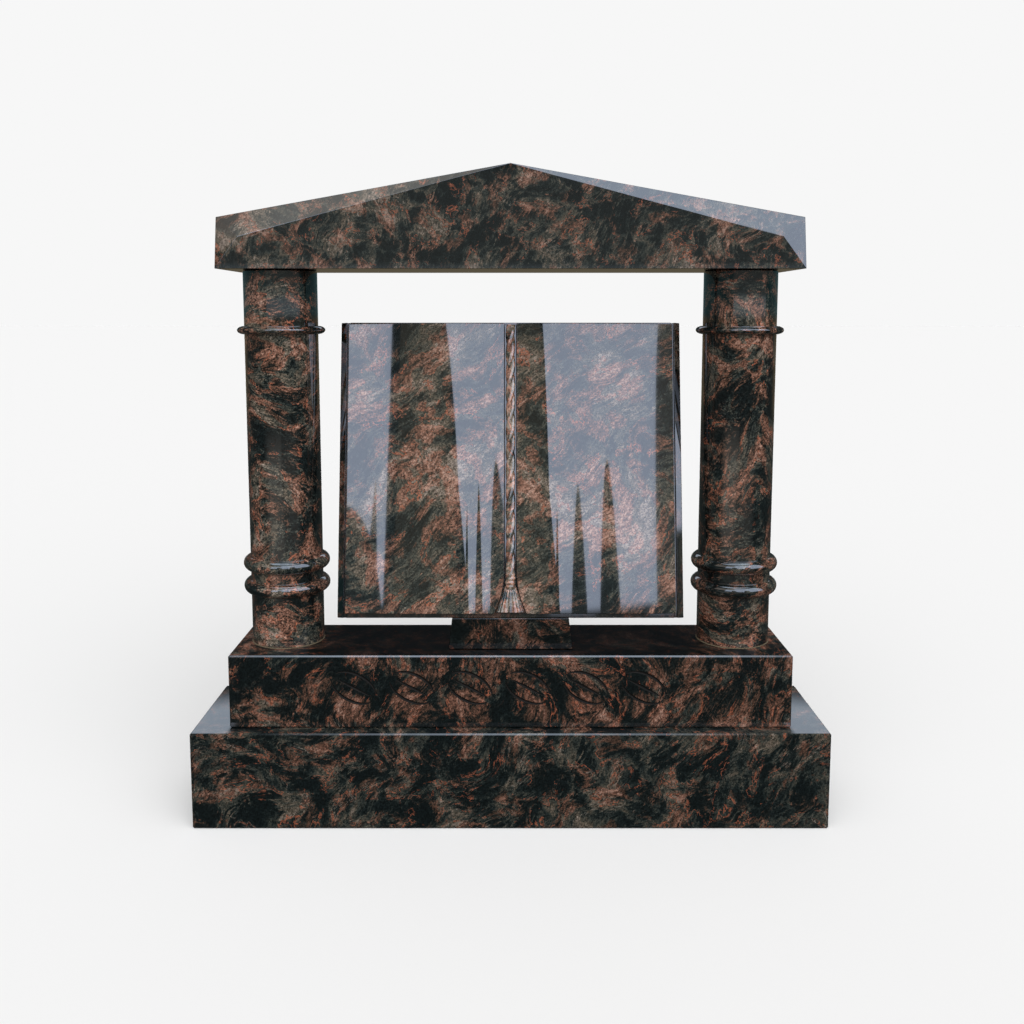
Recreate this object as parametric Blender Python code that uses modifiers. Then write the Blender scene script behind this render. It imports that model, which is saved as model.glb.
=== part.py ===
"""Granite headstone: an open book leaning on a small foot, between two ringed
columns that carry a gabled pediment, on a plinth and a base slab.

Metres, +Z up, the front faces -Y. The origin is the bottom centre of the base.
Run with: blender --background --python part.py
"""
import math

import bmesh
import bpy
from mathutils import Matrix, Vector

# Joints
JOINT_GAP = 0.0003            # bed joint left between two stones that rest on each other
ARRIS = 0.0025                # polished chamfer along the edges of the slabs
FINE_ARRIS = 0.0015           # the smaller chamfer of the pediment and the foot
WELD = 0.00002                # merge distance for meshes of this size

# Base slab and plinth; their depth follows from the columns that stand on them
BASE_WIDTH = 1.200
BASE_HEIGHT = 0.1864
PLINTH_END_MARGIN = 0.0685    # base showing at each end of the plinth
PLINTH_FACE_MARGIN = 0.028    # base showing before and behind the plinth
PLINTH_HEIGHT = 0.1406

# Row of shallow strokes on the face of the plinth: each group is an oval of two bowed strokes
# with a straight one between them, falling to the right
STROKE_GROUPS = 6
GROUP_HALF_LENGTH = 0.045
GROUP_HALF_BREADTH = 0.026
GROUP_SLANT = math.radians(-28)
GROUP_GAP = 0.030
STROKE_WIDTH = 0.0052
STROKE_TIP_WIDTH = 0.0020
STROKE_DEPTH = 0.002
STROKE_STEPS = 8
BOWED_STROKE_SPAN = math.radians(140)
STRAIGHT_STROKE_HALF_LENGTH = 0.033
STROKE_ROW_SHIFT = -0.022     # the row sits a little left of the middle
STROKE_ROW_DROP = 0.062       # from the top of the plinth to the middle of the row

# Columns
COLUMN_RADIUS = 0.0694
COLUMN_HEIGHT = 0.7196
COLUMN_END_MARGIN = 0.0227    # plinth showing outside a column
COLUMN_FACE_MARGIN = 0.0411   # plinth showing before a column
COLUMN_BACK_MARGIN = 0.0161   # and behind it
COLUMN_SIDES = 40
FOOT_RING_RADIUS = 0.0135     # half-round bead
FOOT_RING_RISE = 0.112        # from the plinth to the middle of the first ring
FOOT_RING_PITCH = 0.045
HEAD_RING_REACH = 0.0135      # how far the thin ring under the pediment stands out
HEAD_RING_HALF_HEIGHT = 0.0078
HEAD_RING_DROP = 0.112        # from the pediment to the middle of that ring
RING_ARC_STEPS = 6

# Pediment
PEDIMENT_END_MARGIN = 0.0272  # pediment reaching past a column
PEDIMENT_FACE_MARGIN = 0.0306  # and before and behind it
PEDIMENT_APEX_HEIGHT = 0.187
PEDIMENT_END_HEIGHT = 0.0934
SPLAY_INSET = 0.043           # from an end to the corner where the two splays meet
SPLAY_HEIGHT = 0.0574         # height of that corner
SPLAY_SETBACK = 0.018         # how far the splays cut back at the eaves

# Foot under the book
FOOT_WIDTH_BOTTOM = 0.238
FOOT_WIDTH_TOP = 0.223
FOOT_FRONT_HEIGHT = 0.0615
FOOT_DEPTH = 0.108

# Open book; its width and height follow from the columns and the pediment round it
BOOK_SIDE_GAP = 0.0252        # from the rings of a column to the book
BOOK_HEAD_GAP = 0.0985        # from the book up to the pediment
BOOK_LEAN = math.radians(11.4)
BOOK_FACE_MARGIN = 0.038      # plinth showing before the foot of the book
BOARD_THICKNESS = 0.034
COVER_STRIP = 0.0125          # cover showing beside the pages
COVER_STRIP_FALL = 0.005      # how far that strip slopes back
COVER_GROOVE_WIDTH = 0.0035
COVER_GROOVE_DEPTH = 0.004
COVER_MARGIN_BOTTOM = 0.009
COVER_MARGIN_TOP = 0.004
PAGE_EDGE_RISE = 0.007        # page height above the board at its outer edge
PAGE_CREST_RISE = 0.019       # and at its crest
PAGE_CREST_DISTANCE = 0.085   # from the gutter to the crest
PAGE_GUTTER_RISE = 0.013
PAGE_ARC_STEPS = 12
GUTTER_HALF_WIDTH = 0.0118
GUTTER_FLOOR_RISE = 0.002
GUTTER_FLARE_HALF_WIDTH = 0.031
GUTTER_FLARE_HEIGHT = 0.080
GUTTER_FLARE_STEPS = 6
EMBED = 0.006                 # how far carved parts run into the stone behind them
CARVING_INSET = 0.0025        # from the top or bottom of the pages to the cord or tassel

# Cord and tassel carved in the gutter
CORD_LOBE_RADIUS = 0.0052
CORD_LOBE_OFFSET = 0.0043
CORD_LOBES = 3
CORD_POINTS_PER_LOBE = 4
CORD_PITCH = 0.114
CORD_STEPS_PER_TURN = 10
CORD_AXIS_RISE = 0.0068
KNOT_HEIGHT = 0.071           # middle of the knot above the bottom of the book
KNOT_HALF_LENGTH = 0.0165
KNOT_RADIUS = 0.0105
KNOT_SIDES = 12
KNOT_RINGS = 8
TASSEL_HALF_WIDTH = 0.0275
TASSEL_THICKNESS = 0.0115
TASSEL_NECK_RADIUS = 0.0085
TASSEL_RIBS = 12
TASSEL_RIB_DEPTH = 0.0022

# Levels and places that follow from the sizes above
PLINTH_WIDTH = BASE_WIDTH - 2 * PLINTH_END_MARGIN
PLINTH_DEPTH = COLUMN_FACE_MARGIN + 2 * COLUMN_RADIUS + COLUMN_BACK_MARGIN
PLINTH_BOTTOM = BASE_HEIGHT + JOINT_GAP
PLINTH_TOP = PLINTH_BOTTOM + PLINTH_HEIGHT
PLINTH_FACE = -PLINTH_DEPTH / 2
BASE_DEPTH = PLINTH_DEPTH + 2 * PLINTH_FACE_MARGIN
GROUP_PITCH = 2 * GROUP_HALF_LENGTH * math.cos(GROUP_SLANT) + GROUP_GAP
BED = PLINTH_TOP + JOINT_GAP
COLUMN_X = PLINTH_WIDTH / 2 - COLUMN_END_MARGIN - COLUMN_RADIUS
COLUMN_Y = PLINTH_FACE + COLUMN_FACE_MARGIN + COLUMN_RADIUS
COLUMN_TOP = BED + COLUMN_HEIGHT
PEDIMENT_BOTTOM = COLUMN_TOP + JOINT_GAP
PEDIMENT_HALF_WIDTH = COLUMN_X + COLUMN_RADIUS + PEDIMENT_END_MARGIN
PEDIMENT_DEPTH = 2 * (COLUMN_RADIUS + PEDIMENT_FACE_MARGIN)
BOOK_Y = PLINTH_FACE + BOOK_FACE_MARGIN
BOOK_Z = BED + FOOT_FRONT_HEIGHT
BOOK_WIDTH = 2 * (COLUMN_X - COLUMN_RADIUS - FOOT_RING_RADIUS - BOOK_SIDE_GAP)
BOOK_HEIGHT = (PEDIMENT_BOTTOM - BOOK_HEAD_GAP - BOOK_Z) / math.cos(BOOK_LEAN)
PAGE_HALF_WIDTH = BOOK_WIDTH / 2 - COVER_STRIP - COVER_GROOVE_WIDTH
PAGE_BOTTOM = COVER_MARGIN_BOTTOM
PAGE_TOP = BOOK_HEIGHT - COVER_MARGIN_TOP


def clear_scene():
    for item in list(bpy.data.objects):
        bpy.data.objects.remove(item, do_unlink=True)


def new_collection(name):
    collection = bpy.data.collections.new(name)
    bpy.context.scene.collection.children.link(collection)
    return collection


def granite(name, colour, roughness):
    """A Principled material in the part's own shade of polished granite."""
    material = bpy.data.materials.new(name)
    material.use_nodes = True
    shader = material.node_tree.nodes["Principled BSDF"]
    shader.inputs["Base Color"].default_value = (*colour, 1.0)
    shader.inputs["Roughness"].default_value = roughness
    shader.inputs["Metallic"].default_value = 0.0
    return material


def add_object(name, mesh, collection, material=None):
    item = bpy.data.objects.new(name, mesh)
    collection.objects.link(item)
    if material is not None:
        mesh.materials.append(material)
    return item


def mesh_from(build, name):
    """Run build on an empty bmesh and return the result as a mesh."""
    bm = bmesh.new()
    build(bm)
    bmesh.ops.recalc_face_normals(bm, faces=bm.faces)
    mesh = bpy.data.meshes.new(name)
    bm.to_mesh(mesh)
    bm.free()
    return mesh


def box_mesh(name, width, depth, height):
    """A box that stands on its own origin."""
    def build(bm):
        bmesh.ops.create_cube(bm, size=1.0)
        bmesh.ops.scale(bm, vec=(width, depth, height), verts=bm.verts)
        bmesh.ops.translate(bm, vec=(0, 0, height / 2), verts=bm.verts)
    return mesh_from(build, name)


def add_arris(item, width):
    """Chamfer the sharp edges."""
    bevel = item.modifiers.new("arris", "BEVEL")
    bevel.width = width
    bevel.segments = 1
    bevel.limit_method = "ANGLE"
    bevel.angle_limit = math.radians(35)


def prism(name, outline, length, collection):
    """Extrude a closed outline of (x, y) points to both sides of z = 0, as a curve object."""
    curve = bpy.data.curves.new(name, "CURVE")
    curve.dimensions = "2D"
    curve.fill_mode = "BOTH"
    curve.extrude = length / 2
    spline = curve.splines.new("POLY")
    spline.points.add(len(outline) - 1)
    for point, (x, y) in zip(spline.points, outline):
        point.co = (x, y, 0.0, 1.0)
    spline.use_cyclic_u = True
    item = bpy.data.objects.new(name, curve)
    collection.objects.link(item)
    return item


def to_mesh_object(item, collection, material=None):
    """Replace an object by its evaluated, welded mesh in world space, under the same name."""
    bpy.context.view_layer.update()
    evaluated = item.evaluated_get(bpy.context.evaluated_depsgraph_get())
    mesh = bpy.data.meshes.new_from_object(evaluated)
    mesh.transform(item.matrix_world)
    name = item.name
    bpy.data.objects.remove(item, do_unlink=True)
    bm = bmesh.new()
    bm.from_mesh(mesh)
    bmesh.ops.remove_doubles(bm, verts=bm.verts, dist=WELD)
    bmesh.ops.recalc_face_normals(bm, faces=bm.faces)
    bm.to_mesh(mesh)
    bm.free()
    mesh.materials.clear()
    return add_object(name, mesh, collection, material)


def boolean(item, other, operation):
    """Join or cut item with other, which becomes a hidden guide."""
    modifier = item.modifiers.new(other.name, "BOOLEAN")
    modifier.operation = operation
    modifier.solver = "EXACT"
    modifier.object = other
    other.hide_render = True
    other.display_type = "WIRE"


def reshape(item, change):
    """Run change on the item's mesh as a bmesh, then turn all faces outwards."""
    bm = bmesh.new()
    bm.from_mesh(item.data)
    change(bm)
    bmesh.ops.recalc_face_normals(bm, faces=bm.faces)
    bm.to_mesh(item.data)
    bm.free()


def merge_flat_faces(bm):
    """Make each flat side one face again, after a curve's triangulated fill."""
    bmesh.ops.dissolve_limit(bm, angle_limit=math.radians(1), verts=bm.verts, edges=bm.edges)


def cut_off(bm, point, normal):
    """Remove what lies beyond a plane and close the cut."""
    geometry = bm.verts[:] + bm.edges[:] + bm.faces[:]
    cut = bmesh.ops.bisect_plane(bm, geom=geometry, plane_co=point, plane_no=normal,
                                 clear_outer=True)
    rim = [edge for edge in cut["geom_cut"] if isinstance(edge, bmesh.types.BMEdge)]
    bmesh.ops.contextual_create(bm, geom=rim)


def shade_round(item):
    """Smooth shading on the curved faces, with the corners kept sharp."""
    item.data.shade_smooth()
    item.data.set_sharp_from_angle(angle=math.radians(40))


def build_base(parts):
    base = add_object("base", box_mesh("base", BASE_WIDTH, BASE_DEPTH, BASE_HEIGHT), parts,
                      granite("base_granite", (0.060, 0.045, 0.042), 0.14))
    add_arris(base, ARRIS)


def bowed_stroke(side):
    """Centre line of an outer stroke of a group, on its upper (1) or lower (-1) side."""
    line = []
    for step in range(STROKE_STEPS + 1):
        angle = math.pi / 2 + BOWED_STROKE_SPAN * (step / STROKE_STEPS - 0.5)
        line.append((GROUP_HALF_LENGTH * math.cos(angle), side * GROUP_HALF_BREADTH * math.sin(angle)))
    return line


def straight_stroke():
    """Centre line of the stroke in the middle of a group."""
    ends = (-STRAIGHT_STROKE_HALF_LENGTH, STRAIGHT_STROKE_HALF_LENGTH)
    return [(ends[0] + (ends[1] - ends[0]) * step / STROKE_STEPS, 0.0) for step in range(STROKE_STEPS + 1)]


def stroke_outline(line):
    """A stroke of the chisel round a centre line, widest in the middle."""
    left, right = [], []
    last = len(line) - 1
    for index, (x, y) in enumerate(line):
        before, after = line[max(index - 1, 0)], line[min(index + 1, last)]
        across = Vector((before[1] - after[1], after[0] - before[0])).normalized()
        share = math.sin(math.pi * index / last)
        half = (STROKE_TIP_WIDTH + (STROKE_WIDTH - STROKE_TIP_WIDTH) * share) / 2
        left.append((x + half * across.x, y + half * across.y))
        right.append((x - half * across.x, y - half * across.y))
    return left + right[::-1]


def add_strokes(plinth, guides):
    """Sink the row of stroke groups into the face of the plinth."""
    lines = (bowed_stroke(1), straight_stroke(), bowed_stroke(-1))
    bm = bmesh.new()
    for group in range(STROKE_GROUPS):
        place = Vector((STROKE_ROW_SHIFT + (group - (STROKE_GROUPS - 1) / 2) * GROUP_PITCH,
                        PLINTH_FACE, PLINTH_TOP - STROKE_ROW_DROP))
        for line in lines:
            stroke = prism("stroke", stroke_outline(line), 2 * STROKE_DEPTH, guides)
            stroke.matrix_world = (Matrix.Translation(place) @ Matrix.Rotation(math.radians(90), 4, "X")
                                   @ Matrix.Rotation(GROUP_SLANT, 4, "Z"))
            stroke = to_mesh_object(stroke, guides)
            bm.from_mesh(stroke.data)
            bpy.data.objects.remove(stroke, do_unlink=True)
    mesh = bpy.data.meshes.new("stroke_cutter")
    bm.to_mesh(mesh)
    bm.free()
    boolean(plinth, add_object("stroke_cutter", mesh, guides), "DIFFERENCE")


def build_plinth(parts, guides):
    plinth = add_object("plinth", box_mesh("plinth", PLINTH_WIDTH, PLINTH_DEPTH, PLINTH_HEIGHT), parts,
                        granite("plinth_granite", (0.095, 0.050, 0.040), 0.14))
    plinth.location = (0, 0, PLINTH_BOTTOM)
    add_arris(plinth, ARRIS)
    add_strokes(plinth, guides)


def ring_arc(height, reach, half_height):
    """Half an ellipse standing out from the shaft, from its top to its bottom."""
    points = []
    for step in range(RING_ARC_STEPS + 1):
        angle = math.pi * (0.5 - step / RING_ARC_STEPS)
        points.append((COLUMN_RADIUS + reach * math.cos(angle), height + half_height * math.sin(angle)))
    return points


def column_profile():
    """Radius and height from the middle of the top, down the outside, to the middle of the foot."""
    profile = [(0.0, COLUMN_HEIGHT), (COLUMN_RADIUS, COLUMN_HEIGHT)]
    profile += ring_arc(COLUMN_HEIGHT - HEAD_RING_DROP, HEAD_RING_REACH, HEAD_RING_HALF_HEIGHT)
    profile += ring_arc(FOOT_RING_RISE + FOOT_RING_PITCH, FOOT_RING_RADIUS, FOOT_RING_RADIUS)
    profile += ring_arc(FOOT_RING_RISE, FOOT_RING_RADIUS, FOOT_RING_RADIUS)
    profile += [(COLUMN_RADIUS, 0.0), (0.0, 0.0)]
    return profile


def profile_mesh(name, points):
    """An open chain of edges through (radius, height) points at +X."""
    mesh = bpy.data.meshes.new(name)
    edges = [(index, index + 1) for index in range(len(points) - 1)]
    mesh.from_pydata([(radius, 0.0, height) for radius, height in points], edges, [])
    return mesh


def build_columns(parts):
    stone = granite("column_granite", (0.085, 0.048, 0.040), 0.12)
    mesh = profile_mesh("column", column_profile())
    mesh.materials.append(stone)
    for side, sign in (("left", -1), ("right", 1)):
        column = add_object(f"column_{side}", mesh, parts)
        column.location = (sign * COLUMN_X, COLUMN_Y, BED)
        turn = column.modifiers.new("turn", "SCREW")
        turn.steps = COLUMN_SIDES
        turn.render_steps = COLUMN_SIDES
        turn.use_merge_vertices = True
        turn.merge_threshold = WELD
        turn.use_smooth_shade = True


def build_pediment(parts, guides):
    """A gabled block whose front is splayed back along the eaves and at both ends."""
    outline = [(-PEDIMENT_HALF_WIDTH, 0.0), (PEDIMENT_HALF_WIDTH, 0.0),
               (PEDIMENT_HALF_WIDTH, PEDIMENT_END_HEIGHT), (0.0, PEDIMENT_APEX_HEIGHT),
               (-PEDIMENT_HALF_WIDTH, PEDIMENT_END_HEIGHT)]
    block = prism("pediment", outline, PEDIMENT_DEPTH, guides)
    block.rotation_euler.x = math.radians(90)
    pediment = to_mesh_object(block, parts, granite("pediment_granite", (0.075, 0.052, 0.047), 0.13))

    def splay(bm):
        merge_flat_faces(bm)
        front = -PEDIMENT_DEPTH / 2
        for sign in (-1, 1):
            apex = Vector((0.0, front, PEDIMENT_APEX_HEIGHT))
            corner = Vector((sign * (PEDIMENT_HALF_WIDTH - SPLAY_INSET), front, SPLAY_HEIGHT))
            foot = Vector((sign * PEDIMENT_HALF_WIDTH, front, 0.0))
            eaves = Vector((sign * PEDIMENT_HALF_WIDTH, front + SPLAY_SETBACK, PEDIMENT_END_HEIGHT))
            for other in (apex, foot):
                normal = (other - corner).cross(eaves - corner).normalized()
                if normal.y > 0:
                    normal.negate()
                cut_off(bm, corner, normal)
    reshape(pediment, splay)
    pediment.location = (0, COLUMN_Y, PEDIMENT_BOTTOM)
    add_arris(pediment, FINE_ARRIS)


def build_foot(parts, guides):
    """A tapered block whose top slopes back under the leaning book."""
    height = FOOT_FRONT_HEIGHT
    outline = [(-FOOT_WIDTH_BOTTOM / 2, 0.0), (FOOT_WIDTH_BOTTOM / 2, 0.0),
               (FOOT_WIDTH_TOP / 2, height), (-FOOT_WIDTH_TOP / 2, height)]
    block = prism("book_foot", outline, FOOT_DEPTH, guides)
    block.rotation_euler.x = math.radians(90)
    foot = to_mesh_object(block, parts, granite("foot_granite", (0.080, 0.042, 0.034), 0.16))

    def slope(bm):
        merge_flat_faces(bm)
        top_front = Vector((0.0, -FOOT_DEPTH / 2, height - JOINT_GAP / math.cos(BOOK_LEAN)))
        cut_off(bm, top_front, Vector((0.0, math.sin(BOOK_LEAN), math.cos(BOOK_LEAN))))
    reshape(foot, slope)
    foot.location = (0, BOOK_Y + FOOT_DEPTH / 2, BED)
    add_arris(foot, FINE_ARRIS)


def cover_outline():
    """Section of the cover across the book: sloping edge strips, a groove beside each page."""
    half = BOOK_WIDTH / 2
    inner = half - COVER_STRIP
    groove = PAGE_HALF_WIDTH - COVER_GROOVE_WIDTH / 2
    right = [(half, BOARD_THICKNESS), (half, COVER_STRIP_FALL), (inner, 0.0),
             (inner, COVER_GROOVE_DEPTH), (groove, COVER_GROOVE_DEPTH), (groove, 0.0)]
    return right + [(-x, y) for x, y in reversed(right)]


def page_surface():
    """Section of the right page from its gutter to its outer edge, as (x, rise)."""
    points = []
    half_steps = PAGE_ARC_STEPS // 2
    for step in range(half_steps):
        share = step / half_steps
        rise = PAGE_GUTTER_RISE + (PAGE_CREST_RISE - PAGE_GUTTER_RISE) * math.sin(share * math.pi / 2)
        points.append((GUTTER_HALF_WIDTH + share * PAGE_CREST_DISTANCE, rise))
    crest = GUTTER_HALF_WIDTH + PAGE_CREST_DISTANCE
    for step in range(PAGE_ARC_STEPS + 1):
        share = step / PAGE_ARC_STEPS
        rise = PAGE_EDGE_RISE + (PAGE_CREST_RISE - PAGE_EDGE_RISE) * math.cos(share * math.pi / 2)
        points.append((crest + share * (PAGE_HALF_WIDTH - crest), rise))
    return points


def page_outline():
    """Section of both pages with the gutter between them."""
    right = [(GUTTER_HALF_WIDTH, -GUTTER_FLOOR_RISE)]
    right += [(x, -rise) for x, rise in page_surface()]
    right.append((PAGE_HALF_WIDTH, EMBED))
    return right + [(-x, y) for x, y in reversed(right)]


def flare_outline():
    """The gutter opening out towards the bottom of the pages, as (x, height)."""
    widening = GUTTER_FLARE_HALF_WIDTH - GUTTER_HALF_WIDTH
    right = [(GUTTER_FLARE_HALF_WIDTH, PAGE_BOTTOM - EMBED)]
    for step in range(GUTTER_FLARE_STEPS + 1):
        share = step / GUTTER_FLARE_STEPS
        right.append((GUTTER_HALF_WIDTH + widening * (1 - share) ** 2,
                      PAGE_BOTTOM + share * GUTTER_FLARE_HEIGHT))
    return right + [(-x, y) for x, y in reversed(right)]


def cord_section():
    """The section of a three-strand cord: a ring of edges with three lobes."""
    bm = bmesh.new()
    count = CORD_LOBES * CORD_POINTS_PER_LOBE
    ring = []
    for index in range(count):
        angle = 2 * math.pi * index / count
        lobe_turn = 2 * math.pi / CORD_LOBES
        from_lobe = (angle + lobe_turn / 2) % lobe_turn - lobe_turn / 2
        radius = (CORD_LOBE_OFFSET * math.cos(from_lobe)
                  + math.sqrt(CORD_LOBE_RADIUS ** 2 - (CORD_LOBE_OFFSET * math.sin(from_lobe)) ** 2))
        ring.append(bm.verts.new((radius * math.cos(angle), radius * math.sin(angle), 0.0)))
    for index in range(count):
        bm.edges.new((ring[index], ring[(index + 1) % count]))
    mesh = bpy.data.meshes.new("cord")
    bm.to_mesh(mesh)
    bm.free()
    return mesh


def build_cord(guides):
    """The cord from the knot to the top of the pages: its section twisted upwards and closed."""
    length = PAGE_TOP - CARVING_INSET - KNOT_HEIGHT
    turns = length / CORD_PITCH
    cord = add_object("cord", cord_section(), guides)
    cord.location = (0, -CORD_AXIS_RISE, KNOT_HEIGHT)
    twist = cord.modifiers.new("twist", "SCREW")
    twist.angle = 2 * math.pi * turns
    twist.screw_offset = length
    twist.steps = round(turns * CORD_STEPS_PER_TURN)
    twist.render_steps = twist.steps
    twist.use_merge_vertices = False
    cord = to_mesh_object(cord, guides)
    reshape(cord, lambda bm: bmesh.ops.holes_fill(bm, edges=bm.edges, sides=0))
    shade_round(cord)
    return cord


def build_knot(guides):
    def build(bm):
        bmesh.ops.create_uvsphere(bm, u_segments=KNOT_SIDES, v_segments=KNOT_RINGS, radius=1.0)
        bmesh.ops.scale(bm, vec=(KNOT_RADIUS, KNOT_RADIUS, KNOT_HALF_LENGTH), verts=bm.verts)
    knot = add_object("knot", mesh_from(build, "knot"), guides)
    knot.location = (0, -CORD_AXIS_RISE, KNOT_HEIGHT)
    shade_round(knot)
    return knot


def build_tassel(guides):
    """A flattened, ribbed skirt that hangs from the knot to the bottom of the pages."""
    top = KNOT_HEIGHT - KNOT_HALF_LENGTH / 2
    length = top - PAGE_BOTTOM - CARVING_INSET

    def build(bm):
        bmesh.ops.create_cone(bm, cap_ends=True, segments=2 * TASSEL_RIBS,
                              radius1=1.0, radius2=1.0, depth=length)
        for vert in bm.verts:
            angle = math.atan2(vert.co.y, vert.co.x)
            valley = 0.5 - 0.5 * math.cos(TASSEL_RIBS * angle)
            if vert.co.z < 0:
                wide, thick = TASSEL_HALF_WIDTH, TASSEL_THICKNESS
            else:
                wide, thick = TASSEL_NECK_RADIUS, TASSEL_NECK_RADIUS
            vert.co.x = (wide - TASSEL_RIB_DEPTH * valley) * math.cos(angle)
            vert.co.y = (thick - TASSEL_RIB_DEPTH * valley) * math.sin(angle)
    tassel = add_object("tassel", mesh_from(build, "tassel"), guides)
    tassel.location = (0, -GUTTER_FLOOR_RISE, top - length / 2)
    return tassel


def build_book(parts, guides):
    """Cover, curved pages, gutter, cord and tassel, carved from one slab and leaning back."""
    cover = prism("book", cover_outline(), BOOK_HEIGHT, guides)
    cover.location.z = BOOK_HEIGHT / 2
    book = to_mesh_object(cover, parts, granite("book_granite", (0.070, 0.060, 0.058), 0.10))

    pages = prism("pages", page_outline(), PAGE_TOP - PAGE_BOTTOM, guides)
    pages.location.z = (PAGE_TOP + PAGE_BOTTOM) / 2
    pages = to_mesh_object(pages, guides)
    shade_round(pages)
    reach = PAGE_CREST_RISE + EMBED
    flare = prism("gutter_flare", flare_outline(), reach, guides)
    flare.rotation_euler.x = math.radians(90)
    flare.location.y = -GUTTER_FLOOR_RISE - reach / 2
    flare = to_mesh_object(flare, guides)
    boolean(pages, flare, "DIFFERENCE")

    boolean(book, pages, "UNION")
    for carving in (build_cord(guides), build_knot(guides), build_tassel(guides)):
        boolean(book, carving, "UNION")

    # The book leans back about the bottom edge of its face, with all that is carved on it
    lean = bpy.data.objects.new("book_lean", None)
    parts.objects.link(lean)
    lean.location = (0, BOOK_Y, BOOK_Z)
    lean.rotation_euler.x = -BOOK_LEAN
    for item in (book, pages, flare, *(guides.objects[name] for name in ("cord", "knot", "tassel"))):
        item.parent = lean


def main():
    clear_scene()
    parts = new_collection("headstone")
    guides = new_collection("headstone_cutters")
    build_base(parts)
    build_plinth(parts, guides)
    build_columns(parts)
    build_pediment(parts, guides)
    build_foot(parts, guides)
    build_book(parts, guides)


main()
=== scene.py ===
"""Polished granite headstone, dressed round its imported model.

An open book leans on a small foot between two ringed columns that carry a gabled pediment, all on a
plinth and a base slab. Metres, +Z up, the front faces -Y, the origin is the bottom centre of the base.
"""

import logging
import math
from dataclasses import dataclass
from enum import Enum
from typing import Iterable, Sequence

import bmesh
import bpy
from mathutils import Matrix, Vector


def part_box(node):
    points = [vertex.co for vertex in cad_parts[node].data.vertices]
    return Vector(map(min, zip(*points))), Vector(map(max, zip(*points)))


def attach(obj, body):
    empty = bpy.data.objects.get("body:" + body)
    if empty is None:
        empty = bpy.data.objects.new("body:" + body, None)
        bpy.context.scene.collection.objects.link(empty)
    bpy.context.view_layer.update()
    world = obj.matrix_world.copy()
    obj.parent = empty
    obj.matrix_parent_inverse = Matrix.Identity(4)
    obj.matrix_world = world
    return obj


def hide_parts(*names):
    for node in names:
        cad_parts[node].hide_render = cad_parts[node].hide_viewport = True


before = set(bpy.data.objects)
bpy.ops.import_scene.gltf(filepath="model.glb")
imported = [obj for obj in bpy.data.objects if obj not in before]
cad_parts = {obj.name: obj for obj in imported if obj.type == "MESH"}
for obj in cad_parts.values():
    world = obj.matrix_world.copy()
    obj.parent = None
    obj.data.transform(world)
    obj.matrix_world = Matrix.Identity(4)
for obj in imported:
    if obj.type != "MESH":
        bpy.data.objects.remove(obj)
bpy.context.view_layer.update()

log = logging.getLogger("headstone")

BODY = "root"
JOINT_GAP = 0.0003        # bed joint between two stones
SLAB_ARRIS = 0.0025       # chamfered edge of the base and the plinth
FINE_ARRIS = 0.0015       # rounded edge of the foot
PAGE_ARRIS = 0.0012       # rounded edge of the pages and the cover
MARKS = 6                 # oval marks in the row on the plinth
MARK_SLANT = math.radians(-28)
ROW_SHIFT = -0.022        # middle of the row, from the middle of the plinth

Ring = Sequence[Vector]
Colour = tuple[float, float, float]
Socket = bpy.types.NodeSocket
Feed = float | Colour | Socket


class Side(Enum):
    """The two sides of the headstone, with the sign of their x."""

    LEFT = -1
    RIGHT = 1


@dataclass(frozen=True)
class Span:
    """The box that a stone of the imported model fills."""

    low: Vector
    high: Vector

    @classmethod
    def of(cls, node: str) -> "Span":
        """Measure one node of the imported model."""
        return cls(*(Vector(corner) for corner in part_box(node)))

    @property
    def size(self) -> Vector:
        """Width, depth and height."""
        return self.high - self.low

    @property
    def middle(self) -> Vector:
        """The centre of the box."""
        return (self.low + self.high) / 2


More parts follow.
